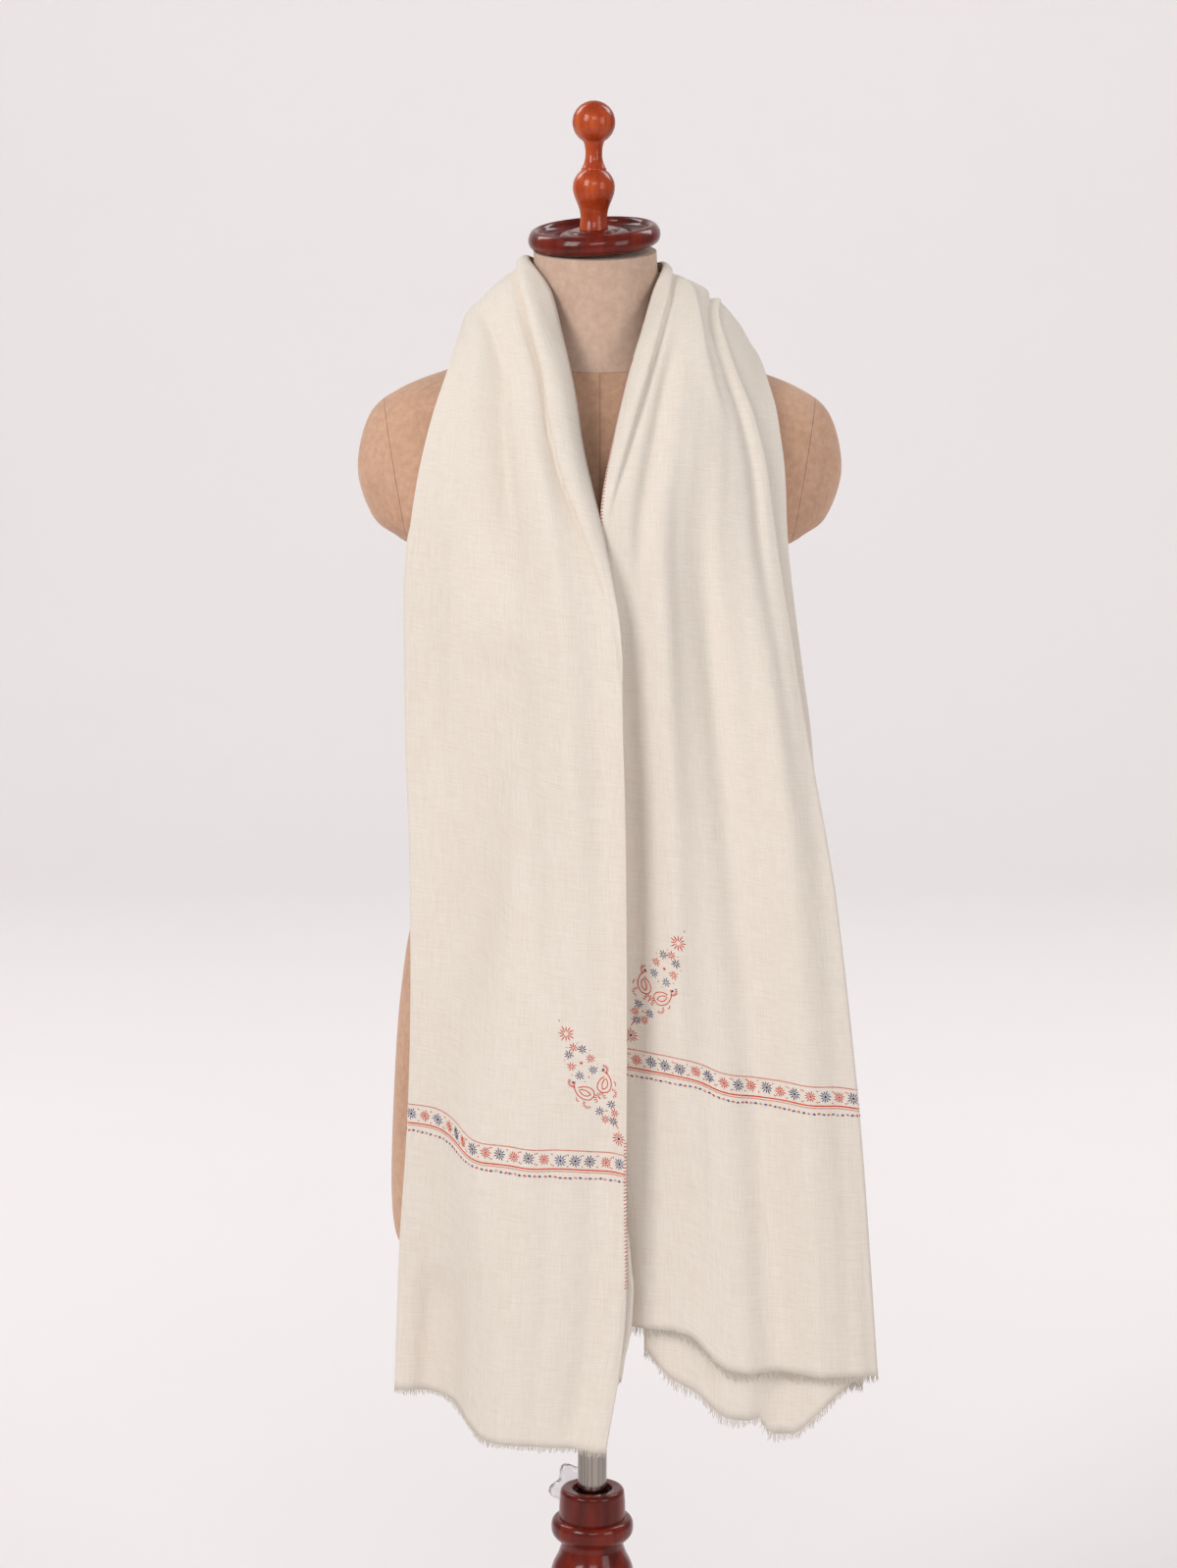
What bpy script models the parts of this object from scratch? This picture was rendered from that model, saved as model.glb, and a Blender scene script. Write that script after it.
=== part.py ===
"""A pashmina shawl draped round the neck of a limbless dress form on a turned wooden stand.

Metres, +Z up. The front faces -Y. The origin is the centre of the base's underside, on the pole's axis.
The shawl is one cloth, folded lengthwise into four loose layers and hung round the neck.
"""

import math
from collections import namedtuple

import bmesh
import bpy
import numpy as np
from mathutils import Matrix, Vector
from mathutils.bvhtree import BVHTree

# Gaps and resolution
GAP = 0.0003
ROUND_STEPS = 32

# Stand
BASE_HEIGHT = 0.040
COLLAR_TOP = 0.404
POLE_RADIUS = 0.0127
POLE_FOOT = 0.200
BUSH_INNER, BUSH_OUTER = 0.0150, 0.0172
BUSH_LENGTH = 0.060
BORE_RADIUS = 0.0176
BORE_FLOOR = 0.045

# Height lock: a screw through the back of the collar, with a lobed knob
LOCK_HEIGHT = 0.389
LOCK_AZIMUTH = math.radians(105)
LOCK_SCREW_RADIUS, LOCK_HOLE_RADIUS = 0.0030, 0.0040
LOCK_SCREW_TIP, LOCK_SCREW_END = 0.0133, 0.0440
KNOB_START, KNOB_END = 0.0443, 0.0560
KNOB_LOBES, KNOB_MEAN_RADIUS, KNOB_WAVE = 6, 0.0230, 0.0035
KNOB_BEVEL = 0.0015

# Dress form
TORSO_FOOT = 0.625
BODY_STEPS = 40
BODY_RINGS = 34
NECK_STEPS = 32
ARMHOLE_X = 0.170
ARMHOLE_LEAN = math.radians(10)
UNDERARM = 1.18
BODY_BOW, NECK_RETURN = 0.006, 0.004
NECK_CENTRE = (0.002, 0.004, 1.4835)
CAP_FORWARD = math.radians(9)
CAP_ROLL = math.radians(-3.5)

# Cloth
CLOTH = 0.0016
ACROSS = (0.0, 0.05, 0.10, 0.19, 0.28, 0.37, 0.46, 0.56, 0.66, 0.76, 0.86, 0.94, 1.0)
FOLD_SEGMENTS = 2
ROWS_PANEL, ROWS_NECK = 11, 18
HEM_FADE = 0.16
FIELD_MARGIN, FIELD_ROWS, FIELD_COLUMNS = 0.08, 421, 41
FRINGE_LENGTH = 0.009
INNER_FOLD, OUTER_FOLD, BACK_EDGE = 0.10, 0.94, 0.19
BODY_CLEARANCE = 0.005

BodyRing = namedtuple("BodyRing", "z half_width front back tilt squareness")
BODY = [
    BodyRing(0.625, 0.150, 0.080, 0.096, 0.00, 2.1),
    BodyRing(0.629, 0.163, 0.090, 0.107, 0.00, 2.1),
    BodyRing(0.645, 0.171, 0.095, 0.113, 0.00, 2.1),
    BodyRing(0.690, 0.1735, 0.097, 0.117, 0.00, 2.1),
    BodyRing(0.780, 0.170, 0.097, 0.120, 0.00, 2.1),
    BodyRing(0.850, 0.165, 0.095, 0.117, 0.00, 2.1),
    BodyRing(0.917, 0.155, 0.090, 0.104, 0.00, 2.1),
    BodyRing(0.970, 0.134, 0.085, 0.089, 0.00, 2.1),
    BodyRing(1.020, 0.120, 0.083, 0.080, 0.00, 2.1),
    BodyRing(1.080, 0.125, 0.090, 0.084, 0.00, 2.1),
    BodyRing(1.140, 0.139, 0.107, 0.093, 0.00, 2.2),
    BodyRing(1.185, 0.148, 0.117, 0.098, 0.00, 2.3),
    BodyRing(1.220, 0.150, 0.113, 0.101, 0.00, 2.2),
    BodyRing(1.236, 0.168, 0.109, 0.102, 0.00, 2.1),
    BodyRing(1.254, 0.188, 0.104, 0.103, 0.00, 2.0),
    BodyRing(1.300, 0.2025, 0.090, 0.102, 0.00, 2.0),
    BodyRing(1.345, 0.192, 0.073, 0.093, 0.05, 2.0),
    BodyRing(1.366, 0.166, 0.064, 0.082, 0.12, 2.0),
    BodyRing(1.384, 0.124, 0.057, 0.070, 0.20, 2.0),
    BodyRing(1.396, 0.090, 0.054, 0.061, 0.26, 2.0),
    BodyRing(1.405, 0.066, 0.052, 0.056, 0.30, 2.0),
]
NECK = [
    BodyRing(1.405, 0.0660, 0.0520, 0.0560, 0.30, 2.0),
    BodyRing(1.416, 0.0580, 0.0500, 0.0535, 0.29, 2.0),
    BodyRing(1.435, 0.0530, 0.0485, 0.0510, 0.26, 2.0),
    BodyRing(1.460, 0.0515, 0.0480, 0.0500, 0.21, 2.0),
    BodyRing(1.4795, 0.0510, 0.0480, 0.0495, 0.158, 2.0),
]

# Turned profiles, top to bottom on the outer side: radius and height
FINIAL_BALL_RADIUS, FINIAL_BALL_HEIGHT = 0.0178, 0.0866
FINIAL = [
    (0.0088, 0.0711), (0.0080, 0.0690), (0.0071, 0.0640), (0.0070, 0.0600),
    (0.0077, 0.0550), (0.0096, 0.0500), (0.0105, 0.0488), (0.0105, 0.0475),
    (0.0125, 0.0455), (0.0155, 0.0410), (0.0167, 0.0365), (0.0161, 0.0310),
    (0.0142, 0.0225), (0.0124, 0.0135), (0.0116, 0.0050), (0.0120, -0.0060),
]
NECK_CAP = [
    (0.0, 0.0145), (0.0140, 0.0145), (0.0195, 0.0140), (0.0215, 0.0125),
    (0.0270, 0.0120), (0.0292, 0.0105), (0.0300, 0.0085), (0.0370, 0.0092),
    (0.0440, 0.0120), (0.0462, 0.0155), (0.0480, 0.0165), (0.0515, 0.0155),
    (0.0538, 0.0125), (0.0550, 0.0085), (0.0545, 0.0045), (0.0525, 0.0015),
    (0.0490, 0.0), (0.0, 0.0),
]
POST = [
    (0.0210, 0.4040), (0.0262, 0.4038), (0.0278, 0.4018), (0.0284, 0.3980),
    (0.0290, 0.3850), (0.0291, 0.3735), (0.0330, 0.3725), (0.0353, 0.3695),
    (0.0360, 0.3645), (0.0352, 0.3590), (0.0325, 0.3550), (0.0280, 0.3520),
    (0.0272, 0.3480), (0.0300, 0.3410), (0.0345, 0.3330), (0.0375, 0.3210),
    (0.0385, 0.3080), (0.0372, 0.2920), (0.0335, 0.2700), (0.0295, 0.2450),
    (0.0272, 0.2200), (0.0268, 0.2000), (0.0282, 0.1830), (0.0318, 0.1790),
    (0.0332, 0.1730), (0.0318, 0.1670), (0.0285, 0.1630), (0.0305, 0.1500),
    (0.0350, 0.1280), (0.0385, 0.1050), (0.0390, 0.0850), (0.0360, 0.0640),
    (0.0330, 0.0560), (0.0375, 0.0520), (0.0420, 0.0470),
]
BASE = [
    (0.0, 0.0400), (0.0480, 0.0400), (0.0540, 0.0380), (0.0700, 0.0350),
    (0.1150, 0.0320), (0.1500, 0.0300), (0.1560, 0.0285), (0.1570, 0.0255),
    (0.1680, 0.0240), (0.1770, 0.0195), (0.1800, 0.0120), (0.1785, 0.0040),
    (0.1750, 0.0), (0.0, 0.0),
]

# The shawl's sections, each a line of the cloth at one distance from an end's hem: its inner edge (the long
# edge next to the neck), its outer edge, how far it bellies out between them, and the fold across it: where
# the fold is, from 0 at the inner edge to 1 at the outer, and the share of the depth that it takes.
Section = namedtuple("Section", "hem_m in_x in_y in_z out_x out_y out_z belly fold_at fold_share pitch")
LEFT = [
    Section(0.000, 0.008, -0.149, 0.494, -0.166, -0.078, 0.524, 0.002, 0.64, 0.70, 0.0060),
    Section(0.120, 0.024, -0.149, 0.612, -0.161, -0.077, 0.643, 0.003, 0.64, 0.68, 0.0060),
    Section(0.235, 0.028, -0.149, 0.727, -0.152, -0.076, 0.759, 0.004, 0.64, 0.64, 0.0058),
    Section(0.430, 0.030, -0.150, 0.921, -0.150, -0.076, 0.953, 0.007, 0.58, 0.48, 0.0054),
    Section(0.600, 0.027, -0.150, 1.090, -0.153, -0.077, 1.123, 0.010, 0.52, 0.30, 0.0054),
    Section(0.710, 0.022, -0.149, 1.199, -0.151, -0.080, 1.228, 0.010, 0.48, 0.14, 0.0050),
    Section(0.785, 0.007, -0.136, 1.272, -0.142, -0.078, 1.296, 0.010, 0.45, 0.08, 0.0040),
    Section(0.845, -0.005, -0.112, 1.327, -0.131, -0.064, 1.344, 0.012, 0.45, 0.00, 0.0041),
    Section(0.900, -0.014, -0.090, 1.377, -0.118, -0.040, 1.380, 0.012, 0.45, 0.00, 0.0041),
    Section(0.950, -0.029, -0.067, 1.424, -0.111, -0.002, 1.398, 0.010, 0.45, 0.00, 0.0041),
    Section(0.995, -0.046, -0.038, 1.458, -0.107, 0.040, 1.396, 0.010, 0.45, 0.00, 0.0041),
    Section(1.035, -0.056, -0.002, 1.472, -0.102, 0.080, 1.378, 0.010, 0.45, 0.00, 0.0041),
    Section(1.075, -0.048, 0.040, 1.472, -0.084, 0.110, 1.350, 0.010, 0.45, 0.00, 0.0041),
    Section(1.115, -0.027, 0.062, 1.468, -0.046, 0.129, 1.325, 0.010, 0.45, 0.00, 0.0041),
]
NAPE = Section(1.145, 0.000, 0.069, 1.465, 0.000, 0.135, 1.315, 0.008, 0.45, 0.00, 0.0038)
RIGHT = [
    Section(0.000, 0.033, -0.122, 0.594, 0.234, -0.142, 0.557, 0.005, 0.34, 0.85, 0.0060),
    Section(0.228, 0.028, -0.122, 0.820, 0.216, -0.138, 0.787, 0.006, 0.32, 0.80, 0.0056),
    Section(0.430, 0.022, -0.124, 1.018, 0.193, -0.128, 0.987, 0.008, 0.30, 0.60, 0.0052),
    Section(0.600, 0.008, -0.130, 1.186, 0.170, -0.106, 1.156, 0.010, 0.30, 0.30, 0.0042),
    Section(0.695, 0.002, -0.130, 1.277, 0.160, -0.088, 1.250, 0.010, 0.30, 0.10, 0.0040),
    Section(0.755, 0.014, -0.112, 1.330, 0.157, -0.072, 1.312, 0.012, 0.30, 0.00, 0.0041),
    Section(0.810, 0.030, -0.090, 1.377, 0.148, -0.048, 1.360, 0.013, 0.30, 0.00, 0.0041),
    Section(0.860, 0.046, -0.065, 1.419, 0.136, -0.014, 1.392, 0.013, 0.30, 0.00, 0.0041),
    Section(0.905, 0.059, -0.034, 1.450, 0.126, 0.030, 1.398, 0.012, 0.30, 0.00, 0.0041),
    Section(0.950, 0.062, 0.004, 1.470, 0.116, 0.074, 1.380, 0.012, 0.30, 0.00, 0.0041),
    Section(0.990, 0.051, 0.044, 1.472, 0.089, 0.108, 1.350, 0.012, 0.30, 0.00, 0.0041),
    Section(1.030, 0.028, 0.063, 1.468, 0.046, 0.129, 1.325, 0.010, 0.30, 0.00, 0.0041),
]
RIGHT_LENGTH = 1.060
LENGTH = NAPE.hem_m + RIGHT_LENGTH

# How much longer (+) or shorter (-) the hidden layers hang than the front one at each end. The place runs
# through the folded width: 1 is the outer fold, 2 the inner fold, 3 the outer one again and 4 the back edge.
HemDrop = namedtuple("HemDrop", "place left right")
HEM_DROPS = [
    HemDrop(0.0, 0.000, 0.000),
    HemDrop(1.0, 0.000, 0.000),
    HemDrop(1.25, -0.010, 0.050),
    HemDrop(1.50, -0.020, 0.052),
    HemDrop(2.0, -0.045, 0.022),
    HemDrop(3.0, -0.030, 0.010),
    HemDrop(4.0, -0.040, 0.004),
]

# Ridges (+) and troughs (-) along the cloth, by length from the left hem and place across it
Fold = namedtuple("Fold", "start_m end_m start_across end_across height half_width")
FOLDS = [
    Fold(0.66, 1.62, 0.060, 0.060, 0.0060, 0.080),
    Fold(0.70, 1.30, 0.260, 0.240, -0.0080, 0.100),
    Fold(0.82, 1.55, 0.520, 0.520, 0.0060, 0.120),
    Fold(1.20, 1.75, 0.250, 0.300, -0.0060, 0.090),
    Fold(1.25, 1.70, 0.760, 0.780, -0.0045, 0.080),
    Fold(0.00, 0.60, 0.300, 0.330, 0.0060, 0.140),
    Fold(0.00, 0.45, 0.860, 0.880, 0.0045, 0.080),
    Fold(1.62, 2.205, 0.520, 0.580, 0.0090, 0.130),
    Fold(1.70, 2.205, 0.860, 0.840, -0.0050, 0.080),
]

# Where the three stretches of the cloth meet
LEFT_SEAM, RIGHT_SEAM = 0.870, 1.430


def spline(at, table, places):
    """Smooth values at the places along a table of numbers, one row for each of the lengths in at."""
    at, table = np.asarray(at, float), np.asarray(table, float)
    slopes = np.gradient(table, at, axis=0)
    places = np.asarray(places, float)
    i = np.clip(np.searchsorted(at, places, side="right") - 1, 0, len(at) - 2)
    span = at[i + 1] - at[i]
    t = ((np.clip(places, at[0], at[-1]) - at[i]) / span)[:, None]
    span = span[:, None]
    near = (2 * t**3 - 3 * t**2 + 1) * table[i] + (t**3 - 2 * t**2 + t) * span * slopes[i]
    far = (3 * t**2 - 2 * t**3) * table[i + 1] + (t**3 - t**2) * span * slopes[i + 1]
    return near + far


def smoothstep(t):
    t = np.clip(t, 0.0, 1.0)
    return t * t * (3 - 2 * t)


def unit(vectors):
    return vectors / np.maximum(np.linalg.norm(vectors, axis=-1, keepdims=True), 1e-12)


# ---------------------------------------------------------------- scene helpers


def clear_scene():
    for old in list(bpy.data.objects):
        bpy.data.objects.remove(old, do_unlink=True)


def material(name, colour, roughness, metallic=0.0):
    made = bpy.data.materials.new(name)
    made.use_nodes = True
    shader = made.node_tree.nodes["Principled BSDF"]
    shader.inputs["Base Color"].default_value = (*colour, 1.0)
    shader.inputs["Roughness"].default_value = roughness
    shader.inputs["Metallic"].default_value = metallic
    return made


def add_object(name, mesh, finish, collection):
    made = bpy.data.objects.new(name, mesh)
    mesh.materials.append(finish)
    collection.objects.link(made)
    return made


def mesh_of_grid(name, points, closed_across, capped=False):
    """A mesh through a grid of points, [row][place across]. Closed rows make a tube, which can be capped."""
    rows, across = points.shape[:2]
    grid = bmesh.new()
    verts = [[grid.verts.new(points[r, c]) for c in range(across)] for r in range(rows)]
    for r in range(rows - 1):
        for c in range(across if closed_across else across - 1):
            d = (c + 1) % across
            grid.faces.new((verts[r][c], verts[r][d], verts[r + 1][d], verts[r + 1][c]))
    if capped:
        grid.faces.new(verts[0][::-1])
        grid.faces.new(verts[-1])
        bmesh.ops.recalc_face_normals(grid, faces=grid.faces)
    mesh = bpy.data.meshes.new(name)
    grid.to_mesh(mesh)
    grid.free()
    return mesh


def shade_round(mesh, angle=35):
    mesh.shade_smooth()
    mesh.set_sharp_from_angle(angle=math.radians(angle))


def turned(name, profile, finish, collection, closed=False):
    """A turned solid: a profile of (radius, height), down its outer side, swept round Z by a Screw modifier."""
    mesh = bpy.data.meshes.new(name)
    edges = [(i, i + 1) for i in range(len(profile) - 1)]
    if closed:
        edges.append((len(profile) - 1, 0))
    mesh.from_pydata([(r, 0.0, z) for r, z in profile], edges, [])
    made = add_object(name, mesh, finish, collection)
    screw = made.modifiers.new("turn", "SCREW")
    screw.axis = "Z"
    screw.steps = screw.render_steps = ROUND_STEPS
    screw.use_merge_vertices = True
    screw.merge_threshold = 0.00001
    screw.use_smooth_shade = True
    return made


def halve(mesh, point, outward, above=-1.0):
    """Cuts off the part of a closed mesh on the outward side of a plane, and closes the cut."""
    work = bmesh.new()
    work.from_mesh(mesh)
    faces = [face for face in work.faces if face.calc_center_median().z > above]
    edges = list({edge for face in faces for edge in face.edges})
    verts = list({vert for face in faces for vert in face.verts})
    bmesh.ops.bisect_plane(
        work, geom=verts + edges + faces, dist=1e-6, plane_co=point, plane_no=outward, clear_outer=True
    )
    rim = [edge for edge in work.edges if edge.is_boundary]
    bmesh.ops.edgeloop_fill(work, edges=rim)
    bmesh.ops.recalc_face_normals(work, faces=work.faces)
    work.to_mesh(mesh)
    work.free()
    return mesh


# ---------------------------------------------------------------- dress form


def body_shift(z):
    """How far the form leans to its left at a height: it bows a little, and its neck comes part of the way back."""
    return BODY_BOW * smoothstep((z - 0.75) / 0.50) - NECK_RETURN * smoothstep((z - 1.39) / 0.10)


def body_points(rings, count, steps):
    """Rings of a lofted body: a superellipse with its own front and back depth, on a plane that tilts."""
    table = np.array(rings, float)
    share = np.linspace(0, len(rings) - 1, count)
    table = spline(np.arange(len(rings)), table, share)
    angle = np.arange(steps) * 2 * math.pi / steps
    c, s = np.cos(angle), np.sin(angle)
    points = np.zeros((count, steps, 3))
    for k, (z, half_width, front, back, tilt, squareness) in enumerate(table):
        x = half_width * np.sign(c) * np.abs(c) ** (2 / squareness)
        y = np.where(s < 0, front, back) * np.sign(s) * np.abs(s) ** (2 / squareness)
        points[k] = np.stack([x + body_shift(z), y, z + tilt * y], axis=1)
    return points


def armhole(side):
    """A point on the armhole's plane and the plane's direction out of the body."""
    lean = Vector((math.cos(ARMHOLE_LEAN), 0.0, -math.sin(ARMHOLE_LEAN)))
    point = Vector((side * ARMHOLE_X + BODY_BOW, 0.0, 1.305))
    lean.x *= side
    return point, lean


def build_form(finishes, collection):
    points = body_points(BODY, BODY_RINGS, BODY_STEPS)
    torso = mesh_of_grid("form_torso", points, True, capped=True)
    for side in (-1, 1):
        point, outward = armhole(side)
        halve(torso, point, outward, above=UNDERARM)
    shade_round(torso, 50)
    add_object("form_torso", torso, finishes["linen"], collection)
    for side, name in ((-1, "form_arm_cap_left"), (1, "form_arm_cap_right")):
        point, outward = armhole(side)
        cap = mesh_of_grid(name, points, True, capped=True)
        halve(cap, Vector((0.0, 0.0, UNDERARM)), Vector((0.0, 0.0, -1.0)))
        halve(cap, point + outward * GAP, -outward)
        shade_round(cap, 50)
        add_object(name, cap, finishes["linen"], collection)
    neck_points = body_points(NECK, 9, NECK_STEPS)
    neck_points[:, :, 2] += GAP
    neck = mesh_of_grid("form_neck", neck_points, True, capped=True)
    shade_round(neck, 50)
    add_object("form_neck", neck, finishes["linen"], collection)
    return points, neck_points


def cap_matrix():
    """The neck cap leans forward with the neck's top, and a little to one side."""
    turn = Matrix.Rotation(CAP_ROLL, 4, "Y") @ Matrix.Rotation(CAP_FORWARD, 4, "X")
    return Matrix.Translation(NECK_CENTRE) @ turn


def finial_profile():
    """The ball, from the top down to where it meets the stem, and then the stem."""
    meet = math.asin(FINIAL[0][0] / FINIAL_BALL_RADIUS)
    turns = [k * (math.pi - meet) / 10 for k in range(10)]
    ball = [
        (FINIAL_BALL_RADIUS * math.sin(a), FINIAL_BALL_HEIGHT + FINIAL_BALL_RADIUS * math.cos(a))
        for a in turns
    ]
    return ball + FINIAL + [(0.0, FINIAL[-1][1])]


def build_cap_and_finial(finishes, collection):
    cap = turned("neck_cap", NECK_CAP, finishes["dark_wood"], collection)
    cap.matrix_world = cap_matrix()
    stem = turned("finial", finial_profile(), finishes["red_wood"], collection)
    seat = cap_matrix() @ Vector((0.0, 0.0, NECK_CAP[0][1] + GAP))
    bpy.context.view_layer.update()
    graph = bpy.context.evaluated_depsgraph_get()
    solid = bpy.data.meshes.new_from_object(stem.evaluated_get(graph))
    solid.transform(Matrix.Translation(seat))
    down = cap_matrix().to_3x3() @ Vector((0.0, 0.0, -1.0))
    halve(solid, seat, down)
    solid.name = "finial"
    stem.modifiers.clear()
    stem.data = solid


# ---------------------------------------------------------------- stand


def lock_frame():
    """Turns local +Z to the lock's axis, out of the collar, with its origin on the pole's axis."""
    out = Vector((math.cos(LOCK_AZIMUTH), math.sin(LOCK_AZIMUTH), 0.0))
    turn = out.to_track_quat("Z", "Y").to_matrix().to_4x4()
    return Matrix.Translation((0.0, 0.0, LOCK_HEIGHT)) @ turn


def rod(name, radius, start, end, segments=ROUND_STEPS):
    """A closed cylinder mesh along local Z."""
    work = bmesh.new()
    bmesh.ops.create_cone(
        work, cap_ends=True, segments=segments, radius1=radius, radius2=radius, depth=end - start
    )
    bmesh.ops.translate(work, vec=(0.0, 0.0, (start + end) / 2), verts=work.verts)
    mesh = bpy.data.meshes.new(name)
    work.to_mesh(mesh)
    work.free()
    shade_round(mesh)
    return mesh


def drill(target, name, start, end, cutters):
    """Drills the lock screw's hole through one wall of the target."""
    cutter = bpy.data.objects.new(name, rod(name, LOCK_HOLE_RADIUS, start, end, 24))
    cutter.matrix_world = lock_frame()
    cutter.hide_render = True
    cutter.display_type = "WIRE"
    cutters.objects.link(cutter)
    cut = target.modifiers.new("lock_hole", "BOOLEAN")
    cut.operation = "DIFFERENCE"
    cut.solver = "EXACT"
    cut.object = cutter


def build_lock(finishes, collection):
    screw = rod("lock_screw", LOCK_SCREW_RADIUS, LOCK_SCREW_TIP, LOCK_SCREW_END, 16)
    add_object("lock_screw", screw, finishes["steel"], collection).matrix_world = lock_frame()
    steps = KNOB_LOBES * 10
    work = bmesh.new()
    rim = []
    for k in range(steps):
        a = 2 * math.pi * k / steps
        r = KNOB_MEAN_RADIUS + KNOB_WAVE * math.cos(KNOB_LOBES * a)
        rim.append(work.verts.new((r * math.cos(a), r * math.sin(a), KNOB_START)))
    face = work.faces.new(rim)
    raised = bmesh.ops.extrude_face_region(work, geom=[face])["geom"]
    top = [item for item in raised if isinstance(item, bmesh.types.BMVert)]
    bmesh.ops.translate(work, vec=(0.0, 0.0, KNOB_END - KNOB_START), verts=top)
    bmesh.ops.recalc_face_normals(work, faces=work.faces)
    mesh = bpy.data.meshes.new("lock_knob")
    work.to_mesh(mesh)
    work.free()
    shade_round(mesh)
    knob = add_object("lock_knob", mesh, finishes["clear_plastic"], collection)
    knob.matrix_world = lock_frame()
    bevel = knob.modifiers.new("eased_edges", "BEVEL")
    bevel.width = KNOB_BEVEL
    bevel.segments = 2
    bevel.limit_method = "ANGLE"
    bevel.angle_limit = math.radians(50)


def build_stand(finishes, collection, cutters):
    turned("stand_base", BASE, finishes["dark_wood"], collection)
    bore = [(0.0, BORE_FLOOR), (BORE_RADIUS, BORE_FLOOR), (BORE_RADIUS, COLLAR_TOP - 0.0005)]
    foot = [(POST[-1][0], BASE_HEIGHT + GAP), (0.0, BASE_HEIGHT + GAP)]
    post = turned("stand_post", bore + POST + foot, finishes["dark_wood"], collection)
    bush_top, bush_foot = COLLAR_TOP - 0.001, COLLAR_TOP - BUSH_LENGTH
    bush = [
        (BUSH_INNER, bush_foot),
        (BUSH_INNER, bush_top),
        (BUSH_OUTER, bush_top),
        (BUSH_OUTER, bush_foot),
    ]
    bush = turned("pole_bush", bush, finishes["dark_steel"], collection, closed=True)
    drill(bush, "bush_drill", BUSH_INNER - 0.004, BUSH_OUTER + 0.004, cutters)
    drill(post, "collar_drill", BORE_RADIUS - 0.002, POST[4][0] + 0.010, cutters)
    pole = rod("pole", POLE_RADIUS, POLE_FOOT, TORSO_FOOT - GAP)
    add_object("pole", pole, finishes["steel"], collection)


# ---------------------------------------------------------------- shawl


def cloth_sections():
    """All the sections in one table, by length from the left hem."""
    lengths = [s.hem_m for s in LEFT] + [NAPE.hem_m] + [LENGTH - s.hem_m for s in RIGHT[::-1]]
    rows = [s[1:] for s in LEFT] + [NAPE[1:]] + [s[1:] for s in RIGHT[::-1]]
    return np.array(lengths), np.array(rows, float)


def front_layer(lengths, across):
    """(points, outward directions, directions across, layer pitch) of the front layer at each length and place."""
    at, rows = cloth_sections()
    row = spline(at, rows, lengths)
    beyond = (np.minimum(lengths, 0.0) + np.minimum(LENGTH - lengths, 0.0))[:, None]
    inner, outer = row[:, 0:3], row[:, 3:6]
    belly, fold_at, fold_share, pitch = (row[:, k : k + 1] for k in (6, 7, 8, 9))
    w = across[None, :]
    folded = 1 / (1 + np.exp(-(w - fold_at) / 0.045))
    q = (1 - fold_share) * w + fold_share * folded
    chord = outer - inner
    points = inner[:, None, :] + chord[:, None, :] * np.stack([w + 0 * q, q, q], axis=2)
    points[:, :, 2] += beyond
    step = 0.004
    on_cloth = np.clip(lengths, 0.0, LENGTH)
    ahead = spline(at, rows, np.minimum(on_cloth + step, LENGTH))
    behind = spline(at, rows, np.maximum(on_cloth - step, 0.0))
    along = unit((ahead[:, 0:3] + ahead[:, 3:6]) - (behind[:, 0:3] + behind[:, 3:6]))
    outward = unit(np.cross(along, chord))
    rise = belly * 4 * w * (1 - w)
    for fold in FOLDS:
        t = (lengths - fold.start_m) / (fold.end_m - fold.start_m)
        near_hem = (fold.start_m <= 0.0, fold.end_m >= LENGTH)
        fade_in = np.ones_like(t) if near_hem[0] else smoothstep(t / 0.3)
        fade_out = np.ones_like(t) if near_hem[1] else smoothstep((1 - t) / 0.3)
        centre = fold.start_across + (fold.end_across - fold.start_across) * np.clip(t, 0, 1)
        share = np.exp(-(((w - centre[:, None]) / fold.half_width) ** 2))
        rise = rise + fold.height * (fade_in * fade_out)[:, None] * share
    points = points + outward[:, None, :] * rise[:, :, None]
    facing = np.repeat(outward[:, None, :], len(across), axis=1)
    return points, facing, unit(np.gradient(points, axis=1)), np.repeat(pitch, len(across), axis=1)


def lift_off_body(points, normals, pitch, body):
    """Moves the sheet outward until the whole stack of layers is clear of the body."""
    lift = np.zeros(points.shape[:2])
    for _ in range(4):
        moved = points + normals * lift[:, :, None]
        for r in range(points.shape[0]):
            for c in range(points.shape[1]):
                near, facing, _, _ = body.find_nearest(Vector(moved[r, c]))
                away = (Vector(moved[r, c]) - near).dot(facing)
                slant = max(0.35, facing.dot(Vector(normals[r, c])))
                need = BODY_CLEARANCE + 3 * pitch[r, c] + CLOTH
                lift[r, c] += max(0.0, need - away) / slant
        for _ in range(2):
            padded = np.pad(lift, 1, mode="edge")
            around = padded[:-2, 1:-1] + padded[2:, 1:-1] + padded[1:-1, :-2] + padded[1:-1, 2:]
            lift = np.maximum(lift, around / 4)
    return points + normals * lift[:, :, None]


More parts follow.
